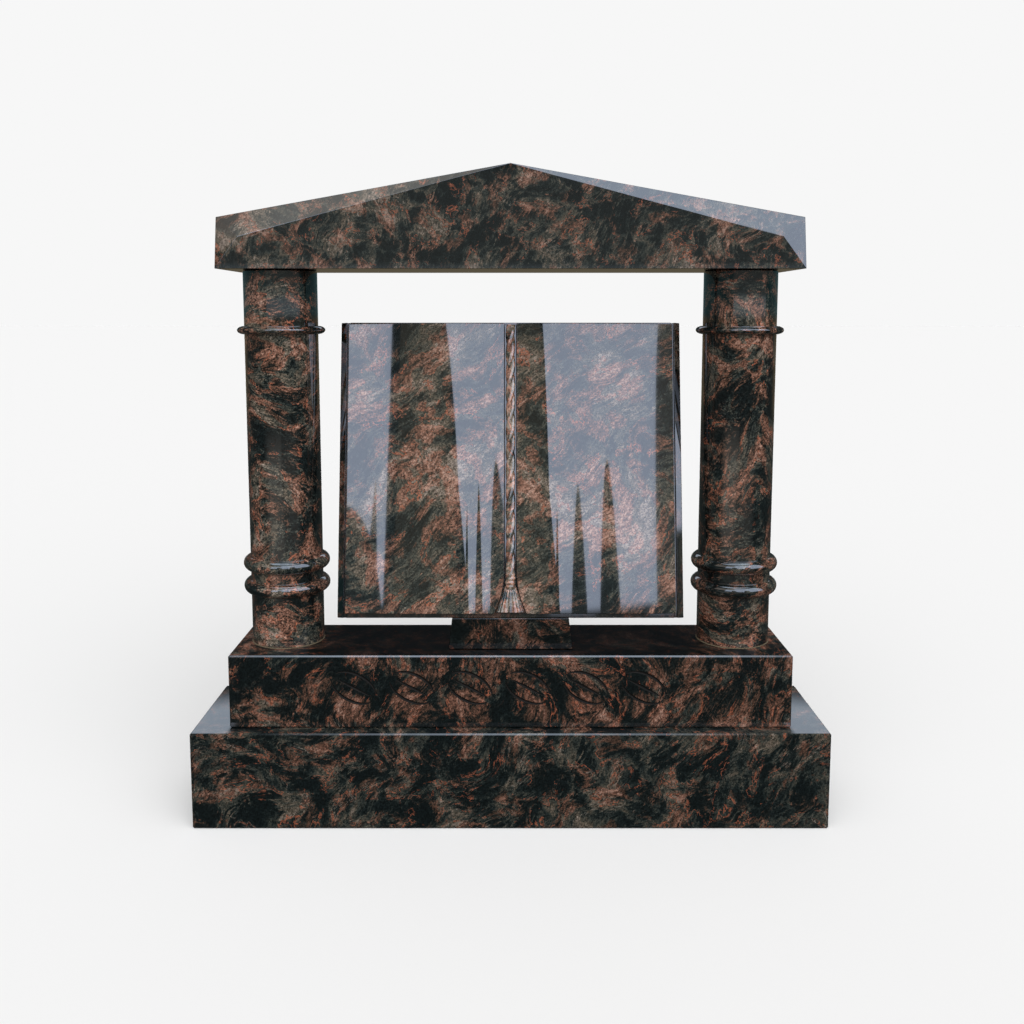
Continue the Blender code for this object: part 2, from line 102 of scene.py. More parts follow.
class Graph:
    """Adds nodes to one node tree and links them."""

    def __init__(self, tree: bpy.types.NodeTree) -> None:
        """Work in this tree."""
        self.tree = tree

    def add(self, kind: str, **settings: object) -> bpy.types.Node:
        """Add a node.

        Args:
            kind: The node's type, without the ShaderNode prefix.
            settings: Properties of the node by name.

        Returns:
            The new node.
        """
        node = self.tree.nodes.new(kind if kind.startswith("Node") else f"ShaderNode{kind}")
        for name, value in settings.items():
            setattr(node, name, value)
        return node

    def feed(self, socket: Socket, value: Feed) -> None:
        """Link a socket to another, or set its own value."""
        if isinstance(value, bpy.types.NodeSocket):
            self.tree.links.new(value, socket)
        elif isinstance(value, tuple) and socket.type == "RGBA":
            socket.default_value = (*value, 1.0)
        else:
            socket.default_value = value

    def math(self, operation: str, first: Feed, second: Feed = 0.0, clamp: bool = False) -> Socket:
        """One step of arithmetic on two numbers.

        Args:
            operation: The Math node's operation.
            first: Its first number.
            second: Its second number, if it takes one.
            clamp: Keep the result between 0 and 1.

        Returns:
            The result.
        """
        node = self.add("Math", operation=operation, use_clamp=clamp)
        self.feed(node.inputs[0], first)
        self.feed(node.inputs[1], second)
        return node.outputs[0]

    def vector(self, operation: str, first: Feed, second: Feed) -> Socket:
        """One step of arithmetic on two vectors, or a vector and its scale.

        Args:
            operation: The Vector Math node's operation.
            first: Its first vector.
            second: Its second vector, or the factor of SCALE.

        Returns:
            The result.
        """
        node = self.add("VectorMath", operation=operation)
        self.feed(node.inputs[0], first)
        self.feed(node.inputs["Scale"] if operation == "SCALE" else node.inputs[1], second)
        return node.outputs["Value" if operation == "DOT_PRODUCT" else "Vector"]

    def axis(self, vector: Socket, name: str) -> Socket:
        """One component of a vector."""
        split = self.add("SeparateXYZ")
        self.feed(split.inputs[0], vector)
        return split.outputs[name]

    def channel(self, colour: Socket, name: str) -> Socket:
        """One channel of a colour."""
        split = self.add("SeparateColor")
        self.feed(split.inputs["Color"], colour)
        return split.outputs[name]

    def step(self, value: Feed, low: Feed, high: Feed) -> Socket:
        """A smooth step from 0 at low to 1 at high, which may lie below low.

        Args:
            value: The number that is measured.
            low: Where the step starts.
            high: Where it ends.

        Returns:
            The height of the step.
        """
        node = self.add("MapRange", interpolation_type="SMOOTHSTEP")
        self.feed(node.inputs["Value"], value)
        self.feed(node.inputs["From Min"], low)
        self.feed(node.inputs["From Max"], high)
        return node.outputs["Result"]

    def blend(self, share: Feed, under: Feed, over: Feed, mode: str = "MIX") -> Socket:
        """Lay one colour over another.

        Args:
            share: How much of the upper colour shows.
            under: The colour below.
            over: The colour above.
            mode: The blend type.

        Returns:
            The blended colour.
        """
        node = self.add("Mix", data_type="RGBA", blend_type=mode)
        self.feed(node.inputs["Factor"], share)
        self.feed(node.inputs[6], under)
        self.feed(node.inputs[7], over)
        return node.outputs[2]

    def noise(self, place: Socket, scale: Feed, detail: float = 2.0, roughness: float = 0.5,
              distortion: float = 0.0) -> bpy.types.Node:
        """A cloud texture.

        Args:
            place: Where it is read.
            scale: Clouds in a metre.
            detail: How many finer layers it has.
            roughness: How strong they are.
            distortion: How far it folds into itself.

        Returns:
            The texture node, with the outputs Fac and Color.
        """
        node = self.add("TexNoise", noise_dimensions="3D")
        self.feed(node.inputs["Vector"], place)
        self.feed(node.inputs["Scale"], scale)
        self.feed(node.inputs["Detail"], detail)
        self.feed(node.inputs["Roughness"], roughness)
        self.feed(node.inputs["Distortion"], distortion)
        return node

    def cells(self, place: Socket, scale: Feed) -> bpy.types.Node:
        """A texture of cells, with the outputs Distance and Color."""
        node = self.add("TexVoronoi", feature="F1")
        self.feed(node.inputs["Vector"], place)
        self.feed(node.inputs["Scale"], scale)
        return node

    def between(self, value: Socket, low: float, high: float, soft: float = 3.0) -> Socket:
        """1 where a number lies between two others, with soft ends."""
        return self.math("MULTIPLY", self.step(value, low - soft, low + soft),
                         self.step(value, high + soft, high - soft))

    def ramp(self, value: Socket, stops: Sequence[tuple[float, Colour]]) -> Socket:
        """Colours laid out along a number.

        Args:
            value: The number.
            stops: Pairs of a number and the colour it has.

        Returns:
            The colour.
        """
        node = self.add("ValToRGB")
        elements = node.color_ramp.elements
        while len(elements) < len(stops):
            elements.new(1.0)
        for element, (place, colour) in zip(elements, stops):
            element.position = place
            element.color = (*colour, 1.0)
        self.feed(node.inputs["Fac"], value)
        return node.outputs["Color"]


@dataclass
class ShaderGroup:
    """A node group that is being made, with its graph and its two ends."""

    tree: bpy.types.NodeTree
    graph: Graph
    inlet: bpy.types.Node
    outlet: bpy.types.Node

    @classmethod
    def new(cls, name: str, inputs: Sequence[tuple[str, str, float]],
            outputs: Sequence[tuple[str, str]]) -> "ShaderGroup":
        """Start a group with named sockets.

        Args:
            name: The group's name.
            inputs: Name, kind and first value of each input.
            outputs: Name and kind of each output.

        Returns:
            The group, still empty between its ends.
        """
        tree = bpy.data.node_groups.new(name, "ShaderNodeTree")
        for label, kind, value in inputs:
            socket = tree.interface.new_socket(label, in_out="INPUT", socket_type=f"NodeSocket{kind}")
            if kind == "Float":
                socket.default_value = value
        for label, kind in outputs:
            tree.interface.new_socket(label, in_out="OUTPUT", socket_type=f"NodeSocket{kind}")
        graph = Graph(tree)
        return cls(tree, graph, graph.add("NodeGroupInput"), graph.add("NodeGroupOutput"))

    def give(self, label: str, value: Socket) -> None:
        """Send a value out of the group."""
        self.graph.feed(self.outlet.inputs[label], value)

    def take(self, label: str) -> Socket:
        """A value that comes into the group."""
        return self.inlet.outputs[label]


class StoneShaders:
    """The node groups that every granite finish is made from, each built once."""

    WARM: tuple[tuple[float, Colour], ...] = (
        (0.36, (0.0032, 0.0052, 0.0056)),
        (0.46, (0.0090, 0.0104, 0.0098)),
        (0.49, (0.0360, 0.0220, 0.0155)),
        (0.56, (0.0680, 0.0365, 0.0255)),
        (0.60, (0.1120, 0.0520, 0.0350)),
        (0.68, (0.1620, 0.0840, 0.0600)),
        (0.78, (0.2400, 0.1450, 0.1120)),
    )
    COOL: tuple[tuple[float, Colour], ...] = (
        (0.36, (0.0032, 0.0055, 0.0060)),
        (0.46, (0.0078, 0.0115, 0.0115)),
        (0.50, (0.0185, 0.0225, 0.0205)),
        (0.58, (0.0370, 0.0375, 0.0305)),
        (0.68, (0.0780, 0.0620, 0.0460)),
        (0.78, (0.1500, 0.1220, 0.1020)),
    )
    EMBER: Colour = (0.250, 0.078, 0.042)
    PALE: Colour = (0.340, 0.290, 0.250)
    RED_FROM: tuple[float, float] = (0.46, 0.54)
    EMBER_EDGE: tuple[float, float] = (0.020, 0.004)
    VEIN_EDGE: tuple[float, float] = (0.006, 0.001)
    SEAM_EDGE: tuple[float, float] = (0.01, 0.15)
    ROUGHNESS: tuple[float, float] = (0.025, 0.050)
    WEIGHTS: dict[str, float] = {"patches": 0.75, "bands": 0.62, "pieces": 0.16, "seams": 0.13,
                                 "streaks": 0.42, "grain": 0.09}

    def __init__(self) -> None:
        """Build the groups."""
        self.flow = self.make_flow()
        self.grain = self.make_grain()
        self.granite = self.make_granite()

    def place(self, graph: Graph, tree: bpy.types.NodeTree, **values: Feed) -> bpy.types.Node:
        """Put one of the groups into a graph.

        Args:
            graph: The graph that uses the group.
            tree: The group's tree.
            values: What its inputs take, by name with _ for a space.

        Returns:
            The group's node.
        """
        node = graph.add("Group", node_tree=tree)
        for label, value in values.items():
            graph.feed(node.inputs[label.replace("_", " ")], value)
        return node

    def make_flow(self) -> bpy.types.NodeTree:
        """Places dragged about as the molten stone once was, in two steps of size."""
        group = ShaderGroup.new("stone_flow",
                                (("Place", "Vector", 0.0), ("Size", "Float", 0.3), ("Reach", "Float", 0.3)),
                                (("Place", "Vector"),))
        graph = group.graph
        place, size, reach = group.take("Place"), group.take("Size"), group.take("Reach")
        for share in (1.0, 0.30):
            scale = graph.math("DIVIDE", 1.0 / share, size)
            drag = graph.noise(place, scale, detail=1.5).outputs["Color"]
            drag = graph.vector("SUBTRACT", drag, (0.5, 0.5, 0.5))
            drag = graph.vector("SCALE", drag, graph.math("MULTIPLY", reach, share))
            place = graph.vector("ADD", place, drag)
        group.give("Place", place)
        return group.tree

    def make_grain(self) -> bpy.types.NodeTree:
        """Crystals of mixed brightness."""
        group = ShaderGroup.new("crystal_grain",
                                (("Place", "Vector", 0.0), ("Size", "Float", 0.002)),
                                (("Grain", "Float"),))
        graph = group.graph
        place = group.take("Place")
        scale = graph.math("DIVIDE", 1.0, group.take("Size"))
        crystal = graph.channel(graph.cells(place, scale).outputs["Color"], "Red")
        mottle = graph.noise(place, graph.math("MULTIPLY", scale, 0.45), detail=2.0, roughness=0.7)
        group.give("Grain", graph.math("ADD", graph.math("MULTIPLY", crystal, 0.5),
                                       graph.math("MULTIPLY", mottle.outputs["Fac"], 0.5)))
        return group.tree

    def patchwork(self, graph: Graph, place: Socket, scale: Socket) -> tuple[Socket, Socket]:
        """Angular patches, each of its own darkness, with seams between them.

        Args:
            graph: The graph they are added to.
            place: Where they are read.
            scale: Patches in a metre.

        Returns:
            The darkness of the patches and the line of the seams, each about 0.5 on average.
        """
        tint = graph.channel(graph.cells(place, scale).outputs["Color"], "Red")
        edge = graph.add("TexVoronoi", feature="DISTANCE_TO_EDGE")
        graph.feed(edge.inputs["Vector"], place)
        graph.feed(edge.inputs["Scale"], scale)
        return tint, graph.math("SUBTRACT", 1.3, graph.step(edge.outputs["Distance"], *self.SEAM_EDGE))

    def make_granite(self) -> bpy.types.NodeTree:
        """The whole stone: dark and red swirls, streaks along them, thin veins and crystals."""
        group = ShaderGroup.new(
            "swirled_granite",
            (("Place", "Vector", 0.0), ("Swirl Size", "Float", 0.3), ("Swirl Reach", "Float", 0.3),
             ("Band Size", "Float", 0.1), ("Stretch", "Float", 3.0), ("Tone", "Float", 0.0),
             ("Warmth", "Float", 0.0), ("Lightness", "Float", 1.0), ("Crystal Size", "Float", 0.002),
             ("Crispness", "Float", 1.0), ("Patchwork", "Float", 1.0)),
            (("Color", "Color"), ("Roughness", "Float")))
        graph = group.graph
        flow = self.place(graph, self.flow, Place=group.take("Place"), Size=group.take("Swirl Size"),
                          Reach=group.take("Swirl Reach")).outputs["Place"]
        squeeze = graph.add("CombineXYZ")
        graph.feed(squeeze.inputs["X"], graph.math("DIVIDE", 1.0, group.take("Stretch")))
        graph.feed(squeeze.inputs["Y"], 1.0)
        graph.feed(squeeze.inputs["Z"], 1.0)
        along = graph.vector("MULTIPLY", flow, squeeze.outputs[0])
        scale = graph.math("DIVIDE", 1.0, group.take("Band Size"))
        patches = graph.noise(flow, graph.math("MULTIPLY", scale, 0.8), detail=3.0,
                              roughness=0.55).outputs["Fac"]
        bands = graph.noise(along, graph.math("MULTIPLY", scale, 2.6), detail=3.0, roughness=0.6,
                            distortion=0.5).outputs["Fac"]
        streaks = graph.noise(graph.vector("MULTIPLY", along, squeeze.outputs[0]),
                              graph.math("MULTIPLY", scale, 16.0), detail=2.0, roughness=0.6).outputs["Fac"]
        hue = graph.noise(graph.vector("ADD", flow, (3.7, 1.9, 5.3)), graph.math("MULTIPLY", scale, 1.9),
                          detail=4.0, roughness=0.62).outputs["Fac"]
        grain = self.place(graph, self.grain, Place=group.take("Place"),
                           Size=group.take("Crystal Size")).outputs["Grain"]
        ragged = graph.add("CombineXYZ")
        graph.feed(ragged.inputs["X"], bands)
        graph.feed(ragged.inputs["Z"], streaks)
        ragged = graph.vector("SCALE", ragged.outputs[0],
                              graph.math("MULTIPLY", group.take("Band Size"), 0.9))
        piece, seam = self.patchwork(graph, graph.vector("ADD", flow, ragged),
                                     graph.math("MULTIPLY", scale, 1.6))

        crisp, patchwork = group.take("Crispness"), group.take("Patchwork")
        tone = graph.math("ADD", 0.5, group.take("Tone"))
        for name, part, strength in (("patches", patches, 1.0), ("bands", bands, 1.0),
                                     ("pieces", piece, patchwork), ("seams", seam, patchwork),
                                     ("streaks", streaks, crisp), ("grain", grain, crisp)):
            weight = graph.math("MULTIPLY", strength, self.WEIGHTS[name])
            lean = graph.math("MULTIPLY", graph.math("SUBTRACT", part, 0.5), weight)
            tone = graph.math("ADD", tone, lean)
        leaning = graph.math("ADD", hue, group.take("Warmth"))
        colour = graph.blend(graph.step(leaning, *self.RED_FROM), graph.ramp(tone, self.COOL),
                             graph.ramp(tone, self.WARM))
        for field, level, edge, gate, opened, share, tint in (
                (hue, 0.5, self.EMBER_EDGE, bands, (0.50, 0.60), 0.75, self.EMBER),
                (bands, 0.53, self.VEIN_EDGE, patches, (0.50, 0.58), 0.35, self.PALE)):
            ridge = graph.math("ABSOLUTE", graph.math("SUBTRACT", field, level))
            line = graph.math("MULTIPLY", graph.step(ridge, *edge), graph.step(gate, *opened))
            colour = graph.blend(graph.math("MULTIPLY", line, share), colour, tint)
        shade = graph.math("MULTIPLY", graph.math("SUBTRACT", grain, 0.48),
                           graph.math("MULTIPLY", crisp, 2.3))
        shade = graph.math("MAXIMUM", graph.math("ADD", shade, 1.0), 0.15)
        group.give("Color", graph.vector("SCALE", colour,
                                         graph.math("MULTIPLY", shade, group.take("Lightness"))))

        rough = graph.add("MapRange")
        graph.feed(rough.inputs["Value"], bands)
        for label, value in zip(("From Min", "From Max", "To Min", "To Max"), (0.3, 0.7, *self.ROUGHNESS)):
            graph.feed(rough.inputs[label], value)
        group.give("Roughness", rough.outputs["Result"])
        return group.tree


@dataclass(frozen=True)
class PolishedGranite:
    """One stone's share of the granite: where its swirls lie, how red and how light it is.

    The top_ fields dull the middle of the faces that look up, as far out as top_half_width;
    painted_top_shade paints shade on them where they lie under the book, darkening their colour.
    """

    name: str
    seed: tuple[float, float, float]
    turn: tuple[float, float, float]
    swirl_size: float = 0.30
    swirl_reach: float = 0.26
    band_size: float = 0.085
    stretch: float = 2.4
    tone: float = 0.0
    warmth: float = 0.0
    lightness: float = 1.0
    crystal_size: float = 0.0023
    crispness: float = 1.0
    patchwork: float = 1.0
    top_polish: float = 1.0
    top_roughness: float = 0.5
    painted_top_shade: float = 1.0
    top_half_width: float = 10.0
    under_book: tuple[float, float] = (0.44, 0.33)
    dip: float = 0.0
    ior: float = 1.8
    coat_ior: float = 1.5
    coat_roughness: float = 0.012

    def toning(self, graph: Graph, where: Socket) -> Feed:
        """How much lighter than usual the stone is; the same all over unless a stone says otherwise."""
        return self.tone

    def warming(self, graph: Graph, where: Socket) -> Feed:
        """How much redder than usual the stone is; the same all over unless a stone says otherwise."""
        return self.warmth

    def mirror_normal(self, graph: Graph) -> Socket:
        """The direction its faces mirror along, dipped a little towards the ground."""
        dipped = graph.vector("ADD", graph.add("NewGeometry").outputs["Normal"], (0.0, 0.0, -self.dip))
        return graph.vector("NORMALIZE", dipped, (0.0, 0.0, 0.0))

    def top_share(self, graph: Graph, where: Socket) -> Socket:
        """1 on the dulled middle of faces that look up, 0 elsewhere."""
        up = graph.step(graph.axis(graph.add("NewGeometry").outputs["Normal"], "Z"), 0.9, 0.99)
        reach = graph.math("ABSOLUTE", graph.axis(where, "X"))
        return graph.math("MULTIPLY", up, graph.step(reach, self.top_half_width + 0.01,
                                                     self.top_half_width - 0.01))

    def lightness_with_painted_shade(self, graph: Graph, where: Socket) -> Feed:
        """How light the stone is, less on the tops under the book, where shade is painted into the colour.

        Args:
            graph: The material's graph.
            where: The place on the object.

        Returns:
            The factor.
        """
        if self.painted_top_shade == 1.0:
            return self.lightness
        # painted shade: the base colour of the tops under the book is darkened
        inside = graph.step(graph.math("ABSOLUTE", graph.axis(where, "X")), *self.under_book)
        painted_shade_share = graph.math("MULTIPLY", self.top_share(graph, where), inside)
        loss = graph.math("MULTIPLY", painted_shade_share, self.lightness * (1.0 - self.painted_top_shade))
        return graph.math("SUBTRACT", self.lightness, loss)

    def material(self, shaders: StoneShaders) -> bpy.types.Material:
        """Make the material of this stone.

        Args:
            shaders: The groups it is built from.

        Returns:
            The material.
        """
        material = bpy.data.materials.new(self.name)
        material.use_nodes = True
        graph = Graph(material.node_tree)
        shader = material.node_tree.nodes["Principled BSDF"]
        where = graph.add("TexCoord").outputs["Object"]
        mapping = graph.add("Mapping")
        graph.feed(mapping.inputs["Vector"], where)
        mapping.inputs["Location"].default_value = self.seed
        mapping.inputs["Rotation"].default_value = [math.radians(angle) for angle in self.turn]
        stone = shaders.place(graph, shaders.granite, Place=mapping.outputs[0], Swirl_Size=self.swirl_size,
                              Swirl_Reach=self.swirl_reach, Band_Size=self.band_size,
                              Stretch=self.stretch, Tone=self.toning(graph, where),
                              Warmth=self.warming(graph, where), Lightness=self.lightness_with_painted_shade(graph, where),
                              Crystal_Size=self.crystal_size, Crispness=self.crispness,
                              Patchwork=self.patchwork)
        graph.feed(shader.inputs["Base Color"], stone.outputs["Color"])
        roughness = stone.outputs["Roughness"]
        shader.inputs["IOR"].default_value = self.ior
        shader.inputs["Coat Weight"].default_value = 1.0
        shader.inputs["Coat Roughness"].default_value = self.coat_roughness
        shader.inputs["Coat IOR"].default_value = self.coat_ior
        if self.dip:
            normal = self.mirror_normal(graph)
            graph.feed(shader.inputs["Normal"], normal)
            graph.feed(shader.inputs["Coat Normal"], normal)
        if self.top_polish < 1.0:
            dull = self.top_share(graph, where)
            polish = graph.math("SUBTRACT", 1.0, graph.math("MULTIPLY", dull, 1.0 - self.top_polish))
            graph.feed(shader.inputs["Coat Weight"], polish)
            graph.feed(shader.inputs["Specular IOR Level"], graph.math("MULTIPLY", polish, 0.5))
            roughness = graph.math("ADD", roughness, graph.math("MULTIPLY", dull, self.top_roughness))
        graph.feed(shader.inputs["Roughness"], roughness)
        return material


@dataclass(frozen=True)
class MarkedGranite(PolishedGranite):
    """Granite with an even number of lighter, redder ovals in a row, as on the plinth."""

    pitch: float = 0.1095
    row_height: float = 0.227
    half_length: float = 0.049
    half_breadth: float = 0.029
    oval_edge: tuple[float, float] = (1.15, 0.55)
    surround_edge: tuple[float, float] = (3.2, 1.6)
    lift: float = 0.14
    surround_drop: float = 0.055
    redness: float = 0.11

    def reach(self, graph: Graph, where: Socket) -> Socket:
        """How far out of the nearest oval a place lies.

        Args:
            graph: The material's graph.
            where: The place on the object.

        Returns:
            Less than 1 inside an oval, more outside.
        """
        across = graph.math("SUBTRACT", graph.axis(where, "X"), ROW_SHIFT + self.pitch / 2)
        nearest = graph.math("ROUND", graph.math("DIVIDE", across, self.pitch))
        nearest = graph.math("MINIMUM", graph.math("MAXIMUM", nearest, -MARKS / 2), MARKS / 2 - 1)
        x = graph.math("SUBTRACT", across, graph.math("MULTIPLY", nearest, self.pitch))
        z = graph.math("SUBTRACT", graph.axis(where, "Z"), self.row_height)
        cosine, sine = math.cos(MARK_SLANT), math.sin(MARK_SLANT)
        u = graph.math("ADD", graph.math("MULTIPLY", x, cosine), graph.math("MULTIPLY", z, sine))
        v = graph.math("SUBTRACT", graph.math("MULTIPLY", z, cosine), graph.math("MULTIPLY", x, sine))
        return graph.math("ADD", graph.math("POWER", graph.math("DIVIDE", u, self.half_length), 2.0),
                          graph.math("POWER", graph.math("DIVIDE", v, self.half_breadth), 2.0))

    def toning(self, graph: Graph, where: Socket) -> Feed:
        """How much lighter the stone is, with an extra lift inside each oval.

        Args:
            graph: The material's graph.
            where: The place on the object.

        Returns:
            The tone.
        """
        reach = self.reach(graph, where)
        beyond = graph.step(reach, *self.surround_edge)
        tone = graph.math("SUBTRACT", self.tone, graph.math("MULTIPLY", beyond, self.surround_drop))
        lift = graph.math("MULTIPLY", graph.step(reach, *self.oval_edge), self.lift)
        return graph.math("ADD", lift, tone)

    def warming(self, graph: Graph, where: Socket) -> Feed:
        """How much redder the stone is, most inside each oval."""
        inside = graph.step(self.reach(graph, where), *self.oval_edge)
        return graph.math("ADD", graph.math("MULTIPLY", inside, self.redness), self.warmth)


@dataclass(frozen=True)
class PlainFinish:
    """A dull finish without swirls, such as the rough floor of a cut stroke."""

    name: str
    colour: Colour
    roughness: float = 0.55
    sheen: float = 0.15
    grain_size: float = 0.0016
    relief: float = 0.0004

    def material(self, shaders: StoneShaders) -> bpy.types.Material:
        """Make the material of this finish.

        Args:
            shaders: The groups it is built from.

        Returns:
            The material.
        """
        material = bpy.data.materials.new(self.name)
        material.use_nodes = True
        graph = Graph(material.node_tree)
        shader = material.node_tree.nodes["Principled BSDF"]
        grain = shaders.place(graph, shaders.grain, Place=graph.add("TexCoord").outputs["Object"],
                              Size=self.grain_size)
        shade = graph.math("ADD", 0.4, grain.outputs["Grain"])
        graph.feed(shader.inputs["Base Color"], graph.vector("SCALE", self.colour, shade))
        bump = graph.add("Bump")
        bump.inputs["Strength"].default_value = 0.4
        bump.inputs["Distance"].default_value = self.relief
        graph.feed(bump.inputs["Height"], grain.outputs["Grain"])
        graph.feed(shader.inputs["Normal"], bump.outputs["Normal"])
        shader.inputs["Roughness"].default_value = self.roughness
        shader.inputs["Specular IOR Level"].default_value = self.sheen
        return material


def turns(count: int) -> list[float]:
    """Equal angles all round a circle."""
    return [2 * math.pi * step / count for step in range(count)]


def ring_of(points: Iterable[tuple[float, float]], height: float) -> list[Vector]:
    """Lift a flat outline to a height."""
    return [Vector((x, y, height)) for x, y in points]


def solid_from_rings(name: str, rings: Sequence[Ring], place: Matrix | None = None) -> bpy.types.Mesh:
    """Skin closed rings of equal length, one after the other, and close both ends.

    Args:
        name: The mesh's name.
        rings: The rings from one end to the other.
        place: Where the solid goes.

    Returns:
        A closed mesh with its faces pointing out.
    """
    bm = bmesh.new()
    made = [[bm.verts.new(point) for point in ring] for ring in rings]
    count = len(made[0])
    for lower, upper in zip(made, made[1:]):
        for index in range(count):
            after = (index + 1) % count
            bm.faces.new((lower[index], lower[after], upper[after], upper[index]))
    bm.faces.new(reversed(made[0]))
    bm.faces.new(made[-1])
    return mesh_from(bm, name, place)


def mesh_from(bm: bmesh.types.BMesh, name: str, place: Matrix | None = None) -> bpy.types.Mesh:
    """Finish a bmesh as a smooth mesh.

    Args:
        bm: The bmesh, which is freed.
        name: The mesh's name.
        place: Where it goes.

    Returns:
        The mesh.
    """
    if place is not None:
        bmesh.ops.transform(bm, matrix=place, verts=bm.verts)
    bmesh.ops.recalc_face_normals(bm, faces=bm.faces)
    mesh = bpy.data.meshes.new(name)
    bm.to_mesh(mesh)
    bm.free()
    mesh.shade_smooth()
    return mesh


def block_mesh(name: str, low: Vector, high: Vector) -> bpy.types.Mesh:
    """A plain block between two corners, before its edges are rounded."""
    outline = [(low.x, low.y), (high.x, low.y), (high.x, high.y), (low.x, high.y)]
    return solid_from_rings(name, [ring_of(outline, low.z), ring_of(outline, high.z)])


def round_arrises(piece: bpy.types.Object, radius: float, segments: int = 3, angle: float = 30.0) -> None:
    """Round the sharp edges of a stone and keep its faces flat.

    Args:
        piece: The stone.
        radius: Width of the rounding.
        segments: Faces across it.
        angle: Edges sharper than this, in degrees, are rounded.
    """
    bevel = piece.modifiers.new("arris", "BEVEL")
    bevel.width = radius
    bevel.segments = segments
    bevel.limit_method = "ANGLE"
    bevel.angle_limit = math.radians(angle)
    bevel.harden_normals = segments > 1


def keep_faces_flat(piece: bpy.types.Object) -> None:
    """Let large faces rule the shading at their edges."""
    flat = piece.modifiers.new("flat_faces", "WEIGHTED_NORMAL")
    flat.weight = 100
    flat.keep_sharp = True


def finish_piece(piece: bpy.types.Object, material: bpy.types.Material, *nodes: str) -> None:
    """Dress a piece, tie it to the frame and report it.

    Args:
        piece: The piece, in place.
        material: Its finish.
        nodes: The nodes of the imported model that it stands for.
    """
    piece.data.materials.clear()
    piece.data.materials.append(material)
    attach(piece, BODY)
    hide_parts(*nodes)
    log.info("%s: %d faces, stands for %s", piece.name, len(piece.data.polygons), ", ".join(nodes))


def new_piece(name: str, mesh: bpy.types.Mesh) -> bpy.types.Object:
    """Link a mesh to the scene as an object of that name."""
    piece = bpy.data.objects.new(name, mesh)
    bpy.context.scene.collection.objects.link(piece)
    return piece


@dataclass
class BaseSlab:
    """The wide slab at the ground."""

    span: Span
    arris: float = SLAB_ARRIS

    def build(self, finish: bpy.types.Material) -> None:
        """Make the slab and dress it.

        Args:
            finish: Its granite.
        """
        slab = new_piece("base_slab", block_mesh("base_slab", self.span.low, self.span.high))
        slab.data.shade_flat()
        round_arrises(slab, self.arris, segments=1)
        finish_piece(slab, finish, "base")


